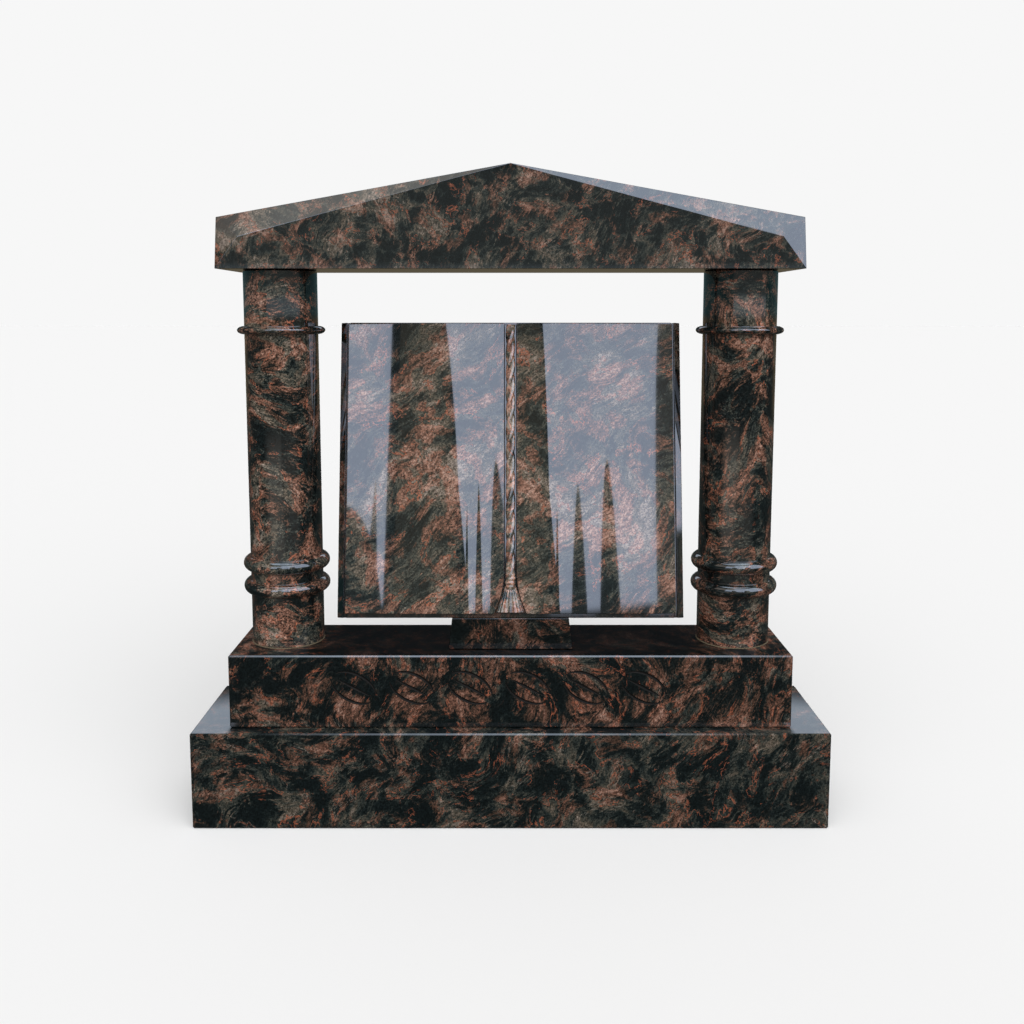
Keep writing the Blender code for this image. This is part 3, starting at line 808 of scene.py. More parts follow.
@dataclass
class Plinth:
    """The second slab, with a row of shallow strokes cut into its face."""

    span: Span
    arris: float = SLAB_ARRIS
    group_half_length: float = 0.045
    group_half_breadth: float = 0.026
    group_gap: float = 0.030
    stroke_width: float = 0.0062
    stroke_tip_width: float = 0.0020
    stroke_depth: float = 0.002
    stroke_steps: int = 14
    stroke_sides: int = 12
    bowed_span: float = math.radians(140)
    straight_half_length: float = 0.033
    row_drop: float = 0.062

    @property
    def group_pitch(self) -> float:
        """From one group of strokes to the next."""
        return 2 * self.group_half_length * math.cos(MARK_SLANT) + self.group_gap

    def centre_lines(self) -> list[list[Vector]]:
        """The three strokes of a group: one bowed up, one straight, one bowed down.

        Returns:
            The centre line of each stroke in the plane of the face.
        """
        shares = [step / self.stroke_steps for step in range(self.stroke_steps + 1)]
        lines = []
        for side in (1, -1):
            angles = [math.pi / 2 + self.bowed_span * (share - 0.5) for share in shares]
            lines.append([Vector((self.group_half_length * math.cos(angle),
                                  side * self.group_half_breadth * math.sin(angle))) for angle in angles])
        lines.append([Vector((self.straight_half_length * (2 * share - 1), 0.0)) for share in shares])
        return lines

    def stroke_rings(self, line: Sequence[Vector], centre: Vector) -> list[Ring]:
        """Rings round a stroke, deepest and widest in its middle.

        Args:
            line: Its centre line in the plane of the face.
            centre: The middle of its group on the face.

        Returns:
            The rings, half of each sunk into the face.
        """
        rings = []
        last = len(line) - 1
        turn = Matrix.Rotation(MARK_SLANT, 2)
        for index, point in enumerate(line):
            ahead = line[min(index + 1, last)] - line[max(index - 1, 0)]
            across = turn @ Vector((-ahead.y, ahead.x)).normalized()
            spot = turn @ point
            share = math.sin(math.pi * index / last)
            half = (self.stroke_tip_width + (self.stroke_width - self.stroke_tip_width) * share) / 2
            depth = self.stroke_depth * (0.25 + 0.75 * share)
            ring = []
            for angle in turns(self.stroke_sides):
                reach = half * math.cos(angle)
                ring.append(centre + Vector((spot.x + reach * across.x, depth * math.sin(angle),
                                             spot.y + reach * across.y)))
            rings.append(ring)
        return rings

    def cutter(self) -> bpy.types.Object:
        """All the strokes as one hidden cutter.

        Returns:
            The cutter.
        """
        bm = bmesh.new()
        for group in range(MARKS):
            shift = ROW_SHIFT + (group - (MARKS - 1) / 2) * self.group_pitch
            centre = Vector((shift, self.span.low.y, self.span.high.z - self.row_drop))
            for line in self.centre_lines():
                stroke = solid_from_rings("stroke", self.stroke_rings(line, centre))
                bm.from_mesh(stroke)
                bpy.data.meshes.remove(stroke)
        return new_piece("stroke_cutter", mesh_from(bm, "stroke_cutter"))

    def in_a_stroke(self, face: bpy.types.MeshPolygon) -> bool:
        """Whether a face is part of a cut stroke."""
        reach = MARKS / 2 * self.group_pitch
        row = self.span.high.z - self.row_drop
        depth = face.center.y - self.span.low.y
        return (1e-6 < depth < self.stroke_depth and abs(face.center.x - ROW_SHIFT) < reach
                and abs(face.center.z - row) < self.group_half_length)

    def build(self, finish: bpy.types.Material, stroke_finish: bpy.types.Material) -> None:
        """Make the plinth, cut its strokes and dress it.

        Args:
            finish: Its granite.
            stroke_finish: The finish of its strokes.
        """
        block = new_piece("plinth_block", block_mesh("plinth_block", self.span.low, self.span.high))
        round_arrises(block, self.arris, segments=1)
        cutter = self.cutter()
        cut = block.modifiers.new("strokes", "BOOLEAN")
        cut.operation = "DIFFERENCE"
        cut.solver = "EXACT"
        cut.object = cutter
        bpy.context.view_layer.update()
        mesh = bpy.data.meshes.new_from_object(block.evaluated_get(bpy.context.evaluated_depsgraph_get()))
        mesh.name = "plinth_block"
        block.modifiers.clear()
        block.data = mesh
        bpy.data.objects.remove(cutter, do_unlink=True)
        mesh.shade_smooth()
        mesh.set_sharp_from_angle(angle=math.radians(34))
        keep_faces_flat(block)
        finish_piece(block, finish, "plinth")
        mesh.materials.append(stroke_finish)
        for face in mesh.polygons:
            face.material_index = int(self.in_a_stroke(face))


@dataclass
class Column:
    """A turned column with a thin ring under its head and two round rings above its foot."""

    side: Side
    span: Span
    ring_reach: float = 0.0135
    head_ring_half_height: float = 0.0078
    head_ring_drop: float = 0.112
    foot_ring_rise: float = 0.112
    foot_ring_pitch: float = 0.045
    fillet: float = 0.0016
    bedding_width: float = 0.0016
    bedding_height: float = 0.0013
    sides: int = 144
    arc_steps: int = 14
    shaft_steps: int = 4

    @property
    def radius(self) -> float:
        """Radius of the plain shaft."""
        return self.span.size.x / 2 - self.ring_reach

    @property
    def height(self) -> float:
        """Height of the column."""
        return self.span.size.z

    def bead(self, height: float, half_height: float) -> list[tuple[float, float]]:
        """Half an ellipse that stands out of the shaft.

        Args:
            height: The height of its middle.
            half_height: Half of its thickness.

        Returns:
            Pairs of radius and height, from its foot to its top.
        """
        points = []
        for step in range(self.arc_steps + 1):
            angle = math.pi * (step / self.arc_steps - 0.5)
            points.append((self.radius + self.ring_reach * math.cos(angle),
                           height + half_height * math.sin(angle)))
        return points

    def shaft(self, low: float, high: float) -> list[tuple[float, float]]:
        """Points along a plain stretch of the shaft, without its ends."""
        steps = range(1, self.shaft_steps)
        return [(self.radius, low + (high - low) * step / self.shaft_steps) for step in steps]

    def profile(self) -> list[tuple[float, float]]:
        """Radius and height from the foot to the head.

        Returns:
            The turned outline.
        """
        beads = (self.bead(self.foot_ring_rise, self.ring_reach),
                 self.bead(self.foot_ring_rise + self.foot_ring_pitch, self.ring_reach),
                 self.bead(self.height - self.head_ring_drop, self.head_ring_half_height))
        points = [(self.radius - self.fillet, 0.0), (self.radius, self.fillet)]
        for bead in beads:
            points += self.shaft(points[-1][1], bead[0][1]) + bead
        top = self.height - self.fillet
        points += self.shaft(points[-1][1], top)
        return points + [(self.radius, top), (self.radius - self.fillet, self.height)]

    def turn(self, name: str, profile: Sequence[tuple[float, float]]) -> bpy.types.Object:
        """Turn a profile about the column's axis.

        Args:
            name: The piece's name.
            profile: Pairs of radius and height above the column's foot.

        Returns:
            The turned piece.
        """
        rings = [ring_of([(radius * math.cos(angle), radius * math.sin(angle))
                          for angle in turns(self.sides)], height) for radius, height in profile]
        foot = Vector((self.span.middle.x, self.span.middle.y, self.span.low.z))
        mesh = solid_from_rings(name, rings, Matrix.Translation(foot))
        mesh.set_sharp_from_angle(angle=math.radians(40))
        return new_piece(name, mesh)

    def build(self, finish: bpy.types.Material, bedding_finish: bpy.types.Material) -> None:
        """Turn the column and the line of bedding round its foot, and dress both.

        Args:
            finish: Its granite.
            bedding_finish: The finish of the bedding.
        """
        name = f"column_{self.side.name.lower()}"
        finish_piece(self.turn(f"turned_{name}", self.profile()), finish, name)
        outer = self.radius + self.bedding_width
        bedding = self.turn(f"bedding_{name}", ((outer, 0.0), (outer - self.bedding_width / 3,
                                                               self.bedding_height * 0.7),
                                                (self.radius - self.fillet / 2, self.bedding_height)))
        finish_piece(bedding, bedding_finish, name)


@dataclass
class Pediment:
    """The gabled block on the columns, splayed back along its front eaves."""

    span: Span
    end_height: float = 0.0934
    splay_inset: float = 0.043
    splay_height: float = 0.0574
    splay_setback: float = 0.018
    arris: float = FINE_ARRIS / 2

    def corners(self) -> list[Vector]:
        """Every corner of the block.

        Returns:
            The corners, in no order.
        """
        low, high = self.span.low, self.span.high
        points = [Vector((self.span.middle.x, y, high.z)) for y in (low.y, high.y)]
        for x, inwards in ((low.x, 1), (high.x, -1)):
            points += [Vector((x, low.y, low.z)), Vector((x, high.y, low.z)),
                       Vector((x, high.y, low.z + self.end_height)),
                       Vector((x, low.y + self.splay_setback, low.z + self.end_height)),
                       Vector((x + inwards * self.splay_inset, low.y, low.z + self.splay_height))]
        return points

    def build(self, finish: bpy.types.Material) -> None:
        """Make the pediment and dress it.

        Args:
            finish: Its granite.
        """
        bm = bmesh.new()
        for corner in self.corners():
            bm.verts.new(corner)
        bmesh.ops.convex_hull(bm, input=bm.verts)
        bmesh.ops.dissolve_limit(bm, angle_limit=math.radians(1), verts=bm.verts, edges=bm.edges)
        pediment = new_piece("pediment_block", mesh_from(bm, "pediment_block"))
        round_arrises(pediment, self.arris, angle=6.0)
        finish_piece(pediment, finish, "pediment")


@dataclass
class BookFoot:
    """The small tapered block that carries the book."""

    span: Span
    top_width: float = 0.223
    lean: float = math.radians(11.4)
    arris: float = FINE_ARRIS

    def build(self, finish: bpy.types.Material) -> None:
        """Make the foot and dress it.

        Args:
            finish: Its granite.
        """
        low, high = self.span.low, self.span.high
        fall = self.span.size.y * math.tan(self.lean)
        bottom = [Vector((x, y, low.z)) for x, y in ((low.x, low.y), (high.x, low.y),
                                                     (high.x, high.y), (low.x, high.y))]
        half = self.top_width / 2
        taper = (self.span.size.x / 2 - half) / self.span.size.z
        back = half + taper * fall
        top = [Vector((-half, low.y, high.z)), Vector((half, low.y, high.z)),
               Vector((back, high.y, high.z - fall)), Vector((-back, high.y, high.z - fall))]
        foot = new_piece("book_foot_block", solid_from_rings("book_foot_block", [bottom, top]))
        round_arrises(foot, self.arris)
        finish_piece(foot, finish, "book_foot")


@dataclass
class Book:
    """The open book: cover, two curved pages, a gutter, and a cord with a knot and a tassel in it.

    Its own frame has x across, y to the back and z up the slant, with the origin at the bottom middle
    of the cover's face.
    """

    span: Span
    foot: Span
    plinth: Span
    foot_front_height: float = 0.0615
    lean: float = math.radians(11.4)
    board_thickness: float = 0.034
    cover_strip: float = 0.0125
    cover_strip_fall: float = 0.005
    groove_width: float = 0.0035
    groove_depth: float = 0.004
    margin_bottom: float = 0.009
    margin_top: float = 0.004
    edge_rise: float = 0.007
    crest_rise: float = 0.019
    crest_distance: float = 0.085
    gutter_rise: float = 0.013
    gutter_half_width: float = 0.0118
    gutter_floor_rise: float = 0.002
    flare_half_width: float = 0.031
    flare_height: float = 0.080
    embed: float = 0.006
    carving_inset: float = 0.0025
    page_steps: int = 56
    flare_steps: int = 20
    cord_lobe_radius: float = 0.0052
    cord_lobe_offset: float = 0.0043
    cord_lobes: int = 3
    cord_points_per_lobe: int = 14
    cord_pitch: float = 0.114
    cord_steps_per_turn: int = 48
    cord_axis_rise: float = 0.0068
    yarn_depth: float = 0.00022
    yarns: int = 5
    knot_height: float = 0.071
    knot_half_length: float = 0.0165
    knot_radius: float = 0.0105
    knot_wraps: int = 4
    wrap_depth: float = 0.0012
    tassel_half_width: float = 0.0275
    tassel_thickness: float = 0.0115
    tassel_neck: float = 0.0085
    tassel_strands: int = 18
    tassel_strand_depth: float = 0.0022
    tassel_rows: int = 24

    @property
    def origin(self) -> Vector:
        """The bottom middle of the cover's face."""
        return Vector((0.0, self.foot.low.y, self.plinth.high.z + JOINT_GAP + self.foot_front_height))

    @property
    def place(self) -> Matrix:
        """From the book's own frame to the headstone's."""
        return Matrix.Translation(self.origin) @ Matrix.Rotation(-self.lean, 4, "X")

    @property
    def height(self) -> float:
        """Height of the cover up its slant."""
        return (self.span.high.z - self.origin.z) / math.cos(self.lean)

    @property
    def page_half_width(self) -> float:
        """From the middle of the book to the outer edge of a page."""
        return self.span.size.x / 2 - self.cover_strip - self.groove_width

    @property
    def page_top(self) -> float:
        """Height of the top of the pages."""
        return self.height - self.margin_top

    def rise(self, x: float) -> float:
        """How far a page stands out of the cover, at a distance from the middle of the book."""
        crest = self.gutter_half_width + self.crest_distance
        if x < crest:
            share = (x - self.gutter_half_width) / self.crest_distance
            return self.gutter_rise + (self.crest_rise - self.gutter_rise) * math.sin(share * math.pi / 2)
        share = (x - crest) / (self.page_half_width - crest)
        return self.edge_rise + (self.crest_rise - self.edge_rise) * math.cos(share * math.pi / 2)

    def gutter_at(self, height: float) -> float:
        """Half the width of the gutter at a height, where it flares round the tassel."""
        share = min((height - self.margin_bottom) / self.flare_height, 1.0)
        return self.gutter_half_width + (self.flare_half_width - self.gutter_half_width) * (1 - share) ** 2

    def page_ring(self, height: float) -> list[Vector]:
        """Section of both pages and the gutter at one height.

        Args:
            height: Height up the slant.

        Returns:
            The closed section.
        """
        edge = self.gutter_at(height)
        shares = [step / self.page_steps for step in range(self.page_steps + 1)]
        across = [edge + (self.page_half_width - edge) * share for share in shares]
        right = [(0.0, -self.gutter_floor_rise), (edge, -self.gutter_floor_rise)]
        right += [(x, -self.rise(x)) for x in across]
        right.append((self.page_half_width, self.embed))
        left = [(-x, y) for x, y in reversed(right[1:])]
        return ring_of(left + right, height)

    def build_cover(self, finish: bpy.types.Material) -> None:
        """The cover: a board with sloping edge strips and a groove beside each page.

        Args:
            finish: Its granite.
        """
        half = self.span.size.x / 2
        groove = self.page_half_width - self.groove_width / 2
        strip = half - self.cover_strip
        right = [(half, self.board_thickness), (half, self.cover_strip_fall), (strip, 0.0),
                 (strip, self.groove_depth), (groove, self.groove_depth), (groove, 0.0)]
        outline = right + [(-x, y) for x, y in reversed(right)]
        mesh = solid_from_rings("book_cover", [ring_of(outline, 0.0), ring_of(outline, self.height)],
                                self.place)
        cover = new_piece("book_cover", mesh)
        round_arrises(cover, PAGE_ARRIS, segments=2, angle=15.0)
        finish_piece(cover, finish, "book")

    def build_pages(self, finish: bpy.types.Material, gutter_painted_shade: bpy.types.Material) -> None:
        """Both pages with the gutter between them.

        Args:
            finish: Their granite.
            gutter_painted_shade: Darker granite laid on the gutter's floor and left side as painted shade.
        """
        top_of_flare = self.margin_bottom + self.flare_height
        heights = [self.margin_bottom + self.flare_height * step / self.flare_steps
                   for step in range(self.flare_steps + 1)]
        heights += [top_of_flare + (self.page_top - top_of_flare) * share
                    for share in (0.25, 0.5, 0.75, 1.0)]
        rings = [self.page_ring(height) for height in heights]
        mesh = solid_from_rings("book_pages", rings, self.place)
        pages = new_piece("book_pages", mesh)
        round_arrises(pages, PAGE_ARRIS, segments=3, angle=40.0)
        finish_piece(pages, finish, "book")
        mesh.materials.append(gutter_painted_shade)
        count = len(rings[0])
        middle = count // 2
        # painted shade: the gutter's floor and left side take the darker second material
        for face in mesh.polygons[:count * (len(rings) - 1)]:
            face.material_index = int(middle - 2 <= face.index % count <= middle)

    def cord_radius(self, angle: float) -> float:
        """Distance from the cord's axis to its surface: three lobes, each with fine yarns."""
        turn = 2 * math.pi / self.cord_lobes
        from_lobe = (angle + turn / 2) % turn - turn / 2
        side = self.cord_lobe_offset * math.sin(from_lobe)
        plain = (self.cord_lobe_offset * math.cos(from_lobe)
                 + math.sqrt(self.cord_lobe_radius ** 2 - side ** 2))
        return plain - self.yarn_depth * (0.5 - 0.5 * math.cos(self.yarns * self.cord_lobes * angle))

    def carve(self, name: str, rings: Sequence[Ring], finish: bpy.types.Material) -> None:
        """Make one of the carved pieces from its rings and dress it.

        Args:
            name: The piece's name.
            rings: Its rings, in the book's own frame.
            finish: Its granite.
        """
        mesh = solid_from_rings(name, rings, self.place)
        mesh.set_sharp_from_angle(angle=math.radians(50))
        finish_piece(new_piece(name, mesh), finish, "book")

    def build_cord(self, finish: bpy.types.Material) -> None:
        """The twisted cord from the knot to the top of the pages.

        Args:
            finish: Its granite.
        """
        length = self.page_top - self.carving_inset - self.knot_height
        steps = round(length / self.cord_pitch * self.cord_steps_per_turn)
        count = self.cord_lobes * self.cord_points_per_lobe
        rings = []
        for step in range(steps + 1):
            height = self.knot_height + length * step / steps
            twist = 2 * math.pi * length * step / steps / self.cord_pitch
            ring = []
            for angle in turns(count):
                radius = self.cord_radius(angle)
                ring.append(Vector((radius * math.cos(angle + twist),
                                    radius * math.sin(angle + twist) - self.cord_axis_rise, height)))
            rings.append(ring)
        self.carve("book_cord", rings, finish)

    def build_knot(self, finish: bpy.types.Material) -> None:
        """The binding over the tassel: a few wraps of thread, narrowing to both ends.

        Args:
            finish: Its granite.
        """
        rows, sides = 8 * self.knot_wraps, 48
        rings = []
        for row in range(rows + 1):
            share = row / rows
            body = self.knot_radius * (0.80 + 0.20 * math.sin(math.pi * share))
            wrap = self.wrap_depth * abs(math.sin(math.pi * self.knot_wraps * share))
            height = self.knot_height - self.knot_half_length + 2 * self.knot_half_length * share
            radius = body - self.wrap_depth + wrap
            rings.append([Vector((radius * math.cos(angle), radius * math.sin(angle) - self.cord_axis_rise,
                                  height)) for angle in turns(sides)])
        self.carve("book_knot", rings, finish)

    def build_tassel(self, finish: bpy.types.Material) -> None:
        """The skirt of strands that spreads below the knot.

        Args:
            finish: Its granite.
        """
        top = self.knot_height - self.knot_half_length / 2
        bottom = self.margin_bottom + self.carving_inset
        points = 10 * self.tassel_strands
        rings = []
        for row in range(self.tassel_rows + 1):
            share = row / self.tassel_rows
            spread = (1 - share) ** 0.85
            wide = self.tassel_neck + (self.tassel_half_width - self.tassel_neck) * spread
            thick = self.tassel_neck + (self.tassel_thickness - self.tassel_neck) * spread
            ring = []
            for angle in turns(points):
                across = (self.tassel_strands * angle / math.pi) % 2 - 1
                valley = (self.tassel_strand_depth * (0.35 + 0.65 * spread)
                          * (1 - math.sqrt(1 - across ** 2)))
                ring.append(Vector(((wide - valley) * math.cos(angle),
                                    (thick - valley) * math.sin(angle) - self.gutter_floor_rise,
                                    bottom + (top - bottom) * share)))
            rings.append(ring)
        self.carve("book_tassel", rings, finish)

    def build(self, cover: bpy.types.Material, pages: bpy.types.Material,
              carving: bpy.types.Material) -> None:
        """Make the whole book and dress it.

        Args:
            cover: Granite of the cover, also laid on the gutter between the pages as painted shade.
            pages: Granite of the pages.
            carving: Granite of the cord, the knot and the tassel, made paler all over as painted highlight.
        """
        self.build_cover(cover)
        # the darker cover granite also goes on the gutter, as painted shade
        self.build_pages(pages, cover)
        self.build_cord(carving)
        self.build_knot(carving)
        self.build_tassel(carving)


@dataclass(frozen=True)
class Screen:
    """A dark upright screen in the studio, mirrored by the polish; angles in degrees from the front.

    Its top is a gable at squareness 1, round at 2 and squarer above that. Nothing of it stands left of
    its left edge.
    """

    azimuth: float
    half_width: float
    top: float
    squareness: float = 2.0
    left: float = -180.0
    colour: Colour = (0.10, 0.115, 0.115)


@dataclass
class Studio:
    """Camera, pale floor and the soft light round the headstone.

    Angles of the mirrored surroundings are in degrees, from the front and above the horizon. The steps of
    the ground are distances in metres, or for front_step and rear_side shares of the way straight back.
    """

    camera_place: Vector
    camera_pitch: float = -0.1128
    focal_pixels: float = 1021.9
    image_side: float = 1024.0
    centre_pixel: tuple[float, float] = (510.47, 429.6)
    sensor: float = 36.0
    floor_side: float = 160.0
    backdrop: Colour = (0.93, 0.93, 0.93)
    floor_colour: Colour = (0.846, 0.846, 0.846)
    near_ground: Colour = (0.024, 0.028, 0.027)
    middle_ground: Colour = (0.150, 0.138, 0.125)
    left_ground: Colour = (0.300, 0.270, 0.240)
    far_ground: Colour = (0.030, 0.030, 0.028)
    rear_ground: Colour = (0.090, 0.075, 0.050)
    left_step: tuple[float, float] = (0.2, -0.6)
    front_step: tuple[float, float] = (-0.85, -0.5)
    middle_step: tuple[float, float] = (1.2, 2.6)
    far_step: tuple[float, float] = (4.5, 8.0)
    rear_side: tuple[float, float] = (0.3, 0.8)
    rear_step: tuple[float, float] = (6.0, 11.0)
    lamp_azimuth: float = math.radians(8)
    lamp_elevation: float = math.radians(35)
    lamp_strength: float = 3.7
    lamp_spread: float = 4.0
    dome_strength: float = 0.17
    zenith_strength: float = 0.3
    horizon_sky: Colour = (1.62, 1.85, 2.35)
    zenith_sky: Colour = (1.80, 2.10, 2.50)
    belt_colour: Colour = (0.13, 0.14, 0.135)
    front_belt_colour: Colour = (0.040, 0.080, 0.085)
    haze_colour: Colour = (0.36, 0.41, 0.45)
    side_colour: Colour = (0.030, 0.033, 0.033)
    left_colour: Colour = (0.62, 0.54, 0.48)
    canopy_colour: Colour = (0.92, 0.90, 0.86)
    behind_sky: Colour = (0.66, 0.76, 0.90)
    sky_climb: tuple[float, float] = (5.0, 80.0)
    canopy_heights: tuple[float, float] = (34.0, 60.0)
    canopy_right: float = -8.0
    canopy_reach: float = 30.0
    left_heights: tuple[float, float] = (20.6, 50.0)
    left_reach: float = 32.0
    behind_step: tuple[float, float] = (154.0, 158.0)
    behind_top: float = 27.0
    haze_heights: tuple[float, float] = (-1.0, 0.9)
    screen_softness: float = 0.12
    belt_top: float = 6.2
    window: tuple[float, float, float] = (-33.0, 73.0, 56.0)
    crown: float = 65.0
    far_edge: float = 20.5
    screens: tuple[Screen, ...] = (
        Screen(-24.0, 9.5, 11.8, 5.0),
        Screen(-17.0, 1.2, 13.0, 1.2),
        Screen(-10.8, 9.9, 25.0, 3.0, left=-15.6, colour=(0.060, 0.072, 0.076)),
        Screen(-3.3, 10.2, 13.2, 1.0, left=-15.6, colour=(0.060, 0.072, 0.076)),
        Screen(-11.0, 8.3, 22.6, 5.0, left=-14.3, colour=(0.170, 0.160, 0.130)),
        Screen(0.8, 1.5, 12.0, 1.5, colour=(0.060, 0.068, 0.068)),
        Screen(6.2, 2.2, 13.2, 1.6),
        Screen(11.6, 2.2, 14.4, 1.9),
        Screen(25.6, 8.2, 26.0, 8.0, colour=(0.24, 0.235, 0.22)),
    )

    def build_camera(self) -> None:
        """The camera at the photograph's viewing angle."""
        data = bpy.data.cameras.new("camera")
        data.sensor_width = self.sensor
        data.lens = self.sensor * self.focal_pixels / self.image_side
        half = self.image_side / 2
        data.shift_x = (half - self.centre_pixel[0]) / self.image_side
        data.shift_y = -(half - self.centre_pixel[1]) / self.image_side
        camera = bpy.data.objects.new("camera", data)
        camera.location = self.camera_place
        camera.rotation_euler = (math.radians(90) + self.camera_pitch, 0, 0)
        bpy.context.scene.collection.objects.link(camera)
        bpy.context.scene.camera = camera

    def build_floor(self) -> None:
        """A plain pale floor, which the polish mirrors darker."""
        half = self.floor_side / 2
        mesh = bpy.data.meshes.new("floor")
        mesh.from_pydata([(-half, -half, 0), (half, -half, 0), (half, half, 0), (-half, half, 0)], [],
                         [(0, 1, 2, 3)])
        floor = new_piece("floor", mesh)
        material = bpy.data.materials.new("pale_floor")
        material.use_nodes = True
        graph = Graph(material.node_tree)
        shader = material.node_tree.nodes["Principled BSDF"]
        shader.inputs["Roughness"].default_value = 0.9
        shader.inputs["Specular IOR Level"].default_value = 0.0
        place = graph.add("NewGeometry").outputs["Position"]
        away = graph.add("VectorMath", operation="LENGTH")
        graph.feed(away.inputs[0], place)
        distance = away.outputs["Value"]
        behind = graph.math("DIVIDE", graph.axis(place, "Y"), distance)
        leftwards = graph.step(graph.axis(place, "X"), *self.left_step)
        middle = graph.blend(leftwards, self.middle_ground, self.left_ground)
        middle = graph.blend(graph.step(behind, *self.front_step), middle, self.near_ground)
        ground = graph.blend(graph.step(distance, *self.middle_step), self.near_ground, middle)
        ground = graph.blend(graph.step(distance, *self.far_step), ground, self.far_ground)
        beyond = graph.math("MULTIPLY", graph.step(behind, *self.rear_side),
                            graph.step(distance, *self.rear_step))
        ground = graph.blend(beyond, ground, self.rear_ground)
        camera_ray = graph.add("LightPath").outputs["Is Camera Ray"]
        graph.feed(shader.inputs["Base Color"], graph.blend(camera_ray, ground, self.floor_colour))
        mesh.materials.append(material)

    def put_screens(self, graph: Graph, azimuth: Socket, elevation: Socket, sky: Socket) -> Socket:
        """Stand the dark screens in front of the sky.

        Args:
            graph: The world's graph.
            azimuth: Degrees from the front towards +X.
            elevation: Degrees above the horizon.
            sky: The colour behind them.

        Returns:
            The colour of sky and screens.
        """
        for screen in self.screens:
            aside = graph.math("ABSOLUTE", graph.math("SUBTRACT", azimuth, screen.azimuth))
            share = graph.math("DIVIDE", aside, screen.half_width)
            height = graph.math("SUBTRACT", 1.0, graph.math("POWER", share, screen.squareness))
            height = graph.math("MULTIPLY", height, screen.top)
            cover = graph.step(graph.math("SUBTRACT", height, elevation), -self.screen_softness,
                               self.screen_softness)
            if screen.left > -180.0:
                cover = graph.math("MULTIPLY", cover, graph.step(azimuth, screen.left - 0.1,
                                                                 screen.left + 0.1))
            sky = graph.blend(cover, sky, screen.colour)
        return sky

    def mirrored_surroundings(self, graph: Graph, azimuth: Socket, elevation: Socket) -> Socket:
        """What the polish mirrors: a bright opening to the front with dark screens, dark all round.

        Args:
            graph: The world's graph.
            azimuth: Degrees from the front towards +X.
            elevation: Degrees above the horizon.

        Returns:
            The colour in each direction.
        """
        left, right, top = self.window
        sky = graph.blend(graph.step(elevation, *self.sky_climb), self.horizon_sky, self.zenith_sky)
        canopy = graph.math("MULTIPLY", graph.between(elevation, *self.canopy_heights),
                            graph.between(azimuth, left - self.canopy_reach, self.canopy_right, 5.0))
        sky = graph.blend(canopy, sky, self.canopy_colour)
        around = self.put_screens(graph, azimuth, elevation, sky)
        opening = graph.math("MULTIPLY", graph.between(azimuth, left, right),
                             graph.between(elevation, -90.0, top))
        behind = graph.math("MULTIPLY", graph.step(graph.math("ABSOLUTE", azimuth), *self.behind_step),
                            graph.between(elevation, self.far_edge, self.behind_top, 0.6))
        crown = graph.step(elevation, self.crown - 2.0, self.crown + 4.0)
        beside = graph.math("MULTIPLY", graph.between(azimuth, left - self.left_reach, left),
                            graph.between(elevation, *self.left_heights, 0.6))
        rest = graph.blend(beside, self.side_colour, self.left_colour)
        rest = graph.blend(behind, rest, self.behind_sky)
        around = graph.blend(graph.math("MAXIMUM", opening, crown), rest, around)
        haze = graph.between(elevation, *self.haze_heights, 0.3)
        belt = graph.blend(haze, self.belt_colour, self.haze_colour)
        belt = graph.blend(opening, self.front_belt_colour, belt)
        above = graph.step(elevation, self.belt_top - 0.3, self.belt_top + 0.3)
        around = graph.blend(above, belt, around)
        return graph.blend(graph.step(elevation, -0.4, 0.1), self.rear_ground, around)

    def soft_light(self, graph: Graph, direction: Socket, height: Socket) -> Socket:
        """The plain soft light that falls on the stones, strongest from above the front.

        Args:
            graph: The world's graph.
            direction: Where the light comes from.
            height: Its z.

        Returns:
            The light's strength in each direction.
        """
        level = math.cos(self.lamp_elevation)
        lamp = (math.sin(self.lamp_azimuth) * level, -math.cos(self.lamp_azimuth) * level,
                math.sin(self.lamp_elevation))
        facing = graph.math("MAXIMUM", graph.vector("DOT_PRODUCT", direction, lamp), 0.0)
        front = graph.math("MULTIPLY", graph.math("POWER", facing, self.lamp_spread), self.lamp_strength)
        above = graph.math("MULTIPLY", graph.math("MAXIMUM", height, 0.0), self.zenith_strength)
        return graph.math("ADD", graph.math("ADD", front, above), self.dome_strength)

    def build_light(self) -> None:
        """The world: a backdrop for the camera, surroundings for the polish and soft light for the rest."""
        world = bpy.data.worlds.new("studio")
        bpy.context.scene.world = world
        world.use_nodes = True
        graph = Graph(world.node_tree)
        direction = graph.add("TexCoord").outputs["Generated"]
        split = graph.add("SeparateXYZ")
        graph.feed(split.inputs[0], direction)
        x, y, z = split.outputs
        azimuth = graph.math("DEGREES", graph.math("ARCTAN2", x, graph.math("MULTIPLY", y, -1.0)))
        elevation = graph.math("DEGREES", graph.math("ARCSINE", z))
        rays = graph.add("LightPath")
        around = graph.blend(rays.outputs["Is Glossy Ray"], self.soft_light(graph, direction, z),
                             self.mirrored_surroundings(graph, azimuth, elevation))
        around = graph.blend(rays.outputs["Is Camera Ray"], around, self.backdrop)
        background = world.node_tree.nodes["Background"]
        graph.feed(background.inputs["Color"], around)
        background.inputs["Strength"].default_value = 1.0

    def build(self) -> None:
        """Set up the whole studio."""
        self.build_camera()
        self.build_floor()
        self.build_light()
        settings = bpy.context.scene.view_settings
        settings.view_transform = "Standard"


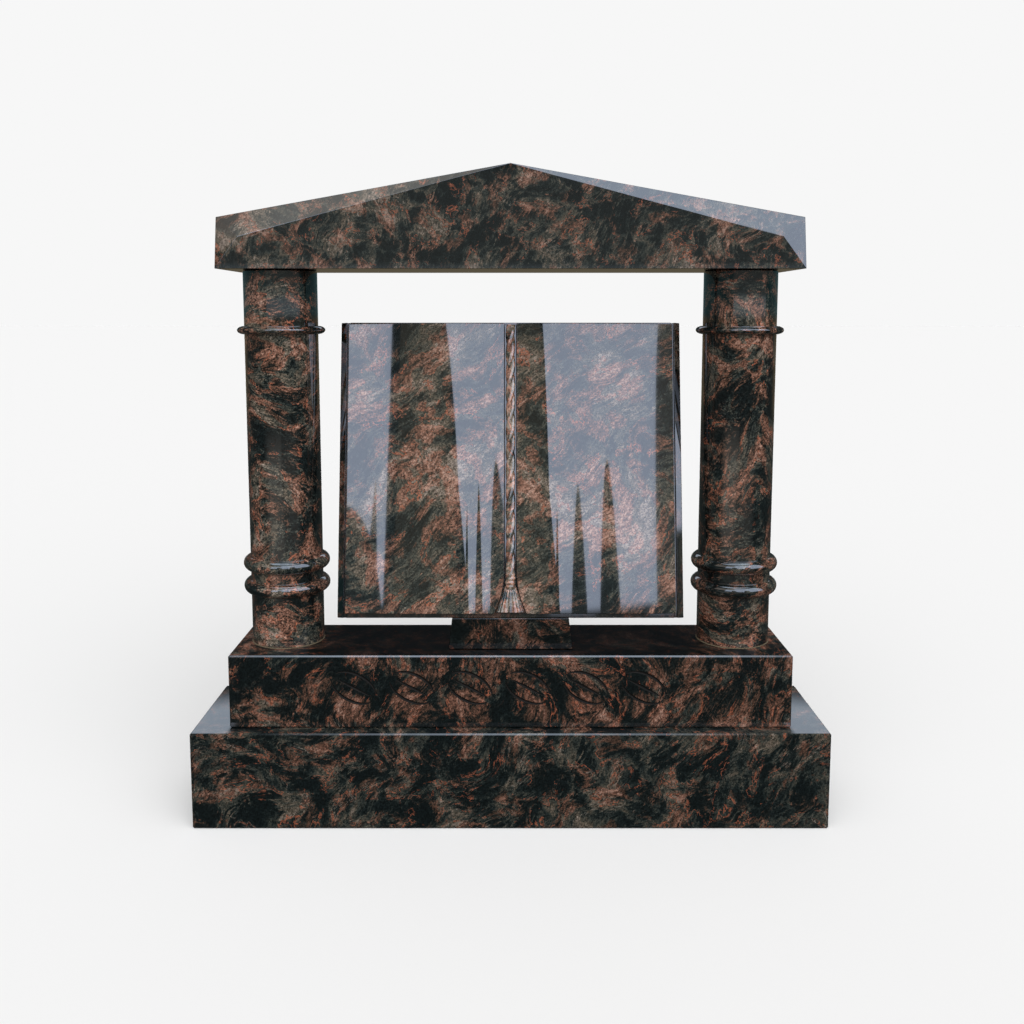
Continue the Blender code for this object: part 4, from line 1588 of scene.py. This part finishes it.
@dataclass
class Headstone:
    """All the stones of the headstone and their finishes."""

    shaders: StoneShaders

    def finishes(self) -> dict[str, bpy.types.Material]:
        """The granite of each stone.

        Returns:
            Materials by the stone's name.
        """
        stones = (
            PolishedGranite("base_granite", (2.1, 0.4, 1.3), (0, 50, 0), tone=-0.035, warmth=-0.055,
                            band_size=0.075, patchwork=0.8, crispness=0.95, top_polish=0.05,
                            top_half_width=0.528),
            # the plinth's top is darkened under the book as painted shade
            MarkedGranite("plinth_granite", (4.7, 1.9, 0.2), (0, 65, 0), tone=-0.03, warmth=0.055,
                          band_size=0.055, patchwork=0.6, top_polish=0.06, painted_top_shade=0.16),
            PolishedGranite("column_left_granite", (7.3, 2.2, 3.1), (0, 20, 0), warmth=0.01,
                            lightness=1.4, band_size=0.07, patchwork=0.7, crispness=1.3),
            PolishedGranite("column_right_granite", (1.6, 6.4, 5.8), (0, 25, 0), tone=-0.01, warmth=0.01,
                            lightness=1.25, band_size=0.07, patchwork=0.7, crispness=1.2),
            PolishedGranite("pediment_granite", (3.4, 3.3, 8.9), (0, 70, 0), warmth=-0.055,
                            swirl_reach=0.18, band_size=0.065, crispness=0.9, dip=0.0145),
            PolishedGranite("foot_granite", (9.8, 5.1, 2.6), (0, 20, 0), tone=-0.04, warmth=0.05,
                            lightness=0.65),
            PolishedGranite("cover_granite", (5.2, 8.8, 6.1), (0, 80, 0), tone=-0.03, lightness=0.4),
            # the carved cord, knot and tassel are made paler than the other stones as painted highlight
            PolishedGranite("carving_granite", (8.2, 0.8, 4.1), (0, 80, 0), tone=0.12, warmth=-0.02,
                            lightness=2.0, band_size=0.03, crispness=0.6),
            PolishedGranite("page_granite", (6.6, 4.2, 7.7), (0, 38, 0), swirl_reach=0.16, stretch=3.0,
                            band_size=0.075, tone=0.045, warmth=-0.02, lightness=1.2, patchwork=0.5,
                            crispness=1.1),
        )
        return {stone.name.removesuffix("_granite"): stone.material(self.shaders) for stone in stones}

    def build(self) -> None:
        """Build and dress every stone."""
        finish = self.finishes()
        plinth = Span.of("plinth")
        BaseSlab(Span.of("base")).build(finish["base"])
        Plinth(plinth).build(finish["plinth"], PlainFinish("stroke_granite", (0.0075, 0.0068, 0.0062))
                             .material(self.shaders))
        bedding = PlainFinish("bedding", (0.130, 0.105, 0.070), roughness=0.8).material(self.shaders)
        for side in Side:
            name = f"column_{side.name.lower()}"
            Column(side, Span.of(name)).build(finish[name], bedding)
        Pediment(Span.of("pediment")).build(finish["pediment"])
        foot = Span.of("book_foot")
        BookFoot(foot).build(finish["foot"])
        Book(Span.of("book"), foot, plinth).build(finish["cover"], finish["page"], finish["carving"])


def main() -> None:
    """Set up the studio, then build the headstone."""
    logging.basicConfig(level=logging.INFO, format="%(name)s %(message)s")
    Studio(camera_place=Vector((0.0, -1.958, 0.966))).build()
    Headstone(StoneShaders()).build()


if __name__ == "__main__":
    main()
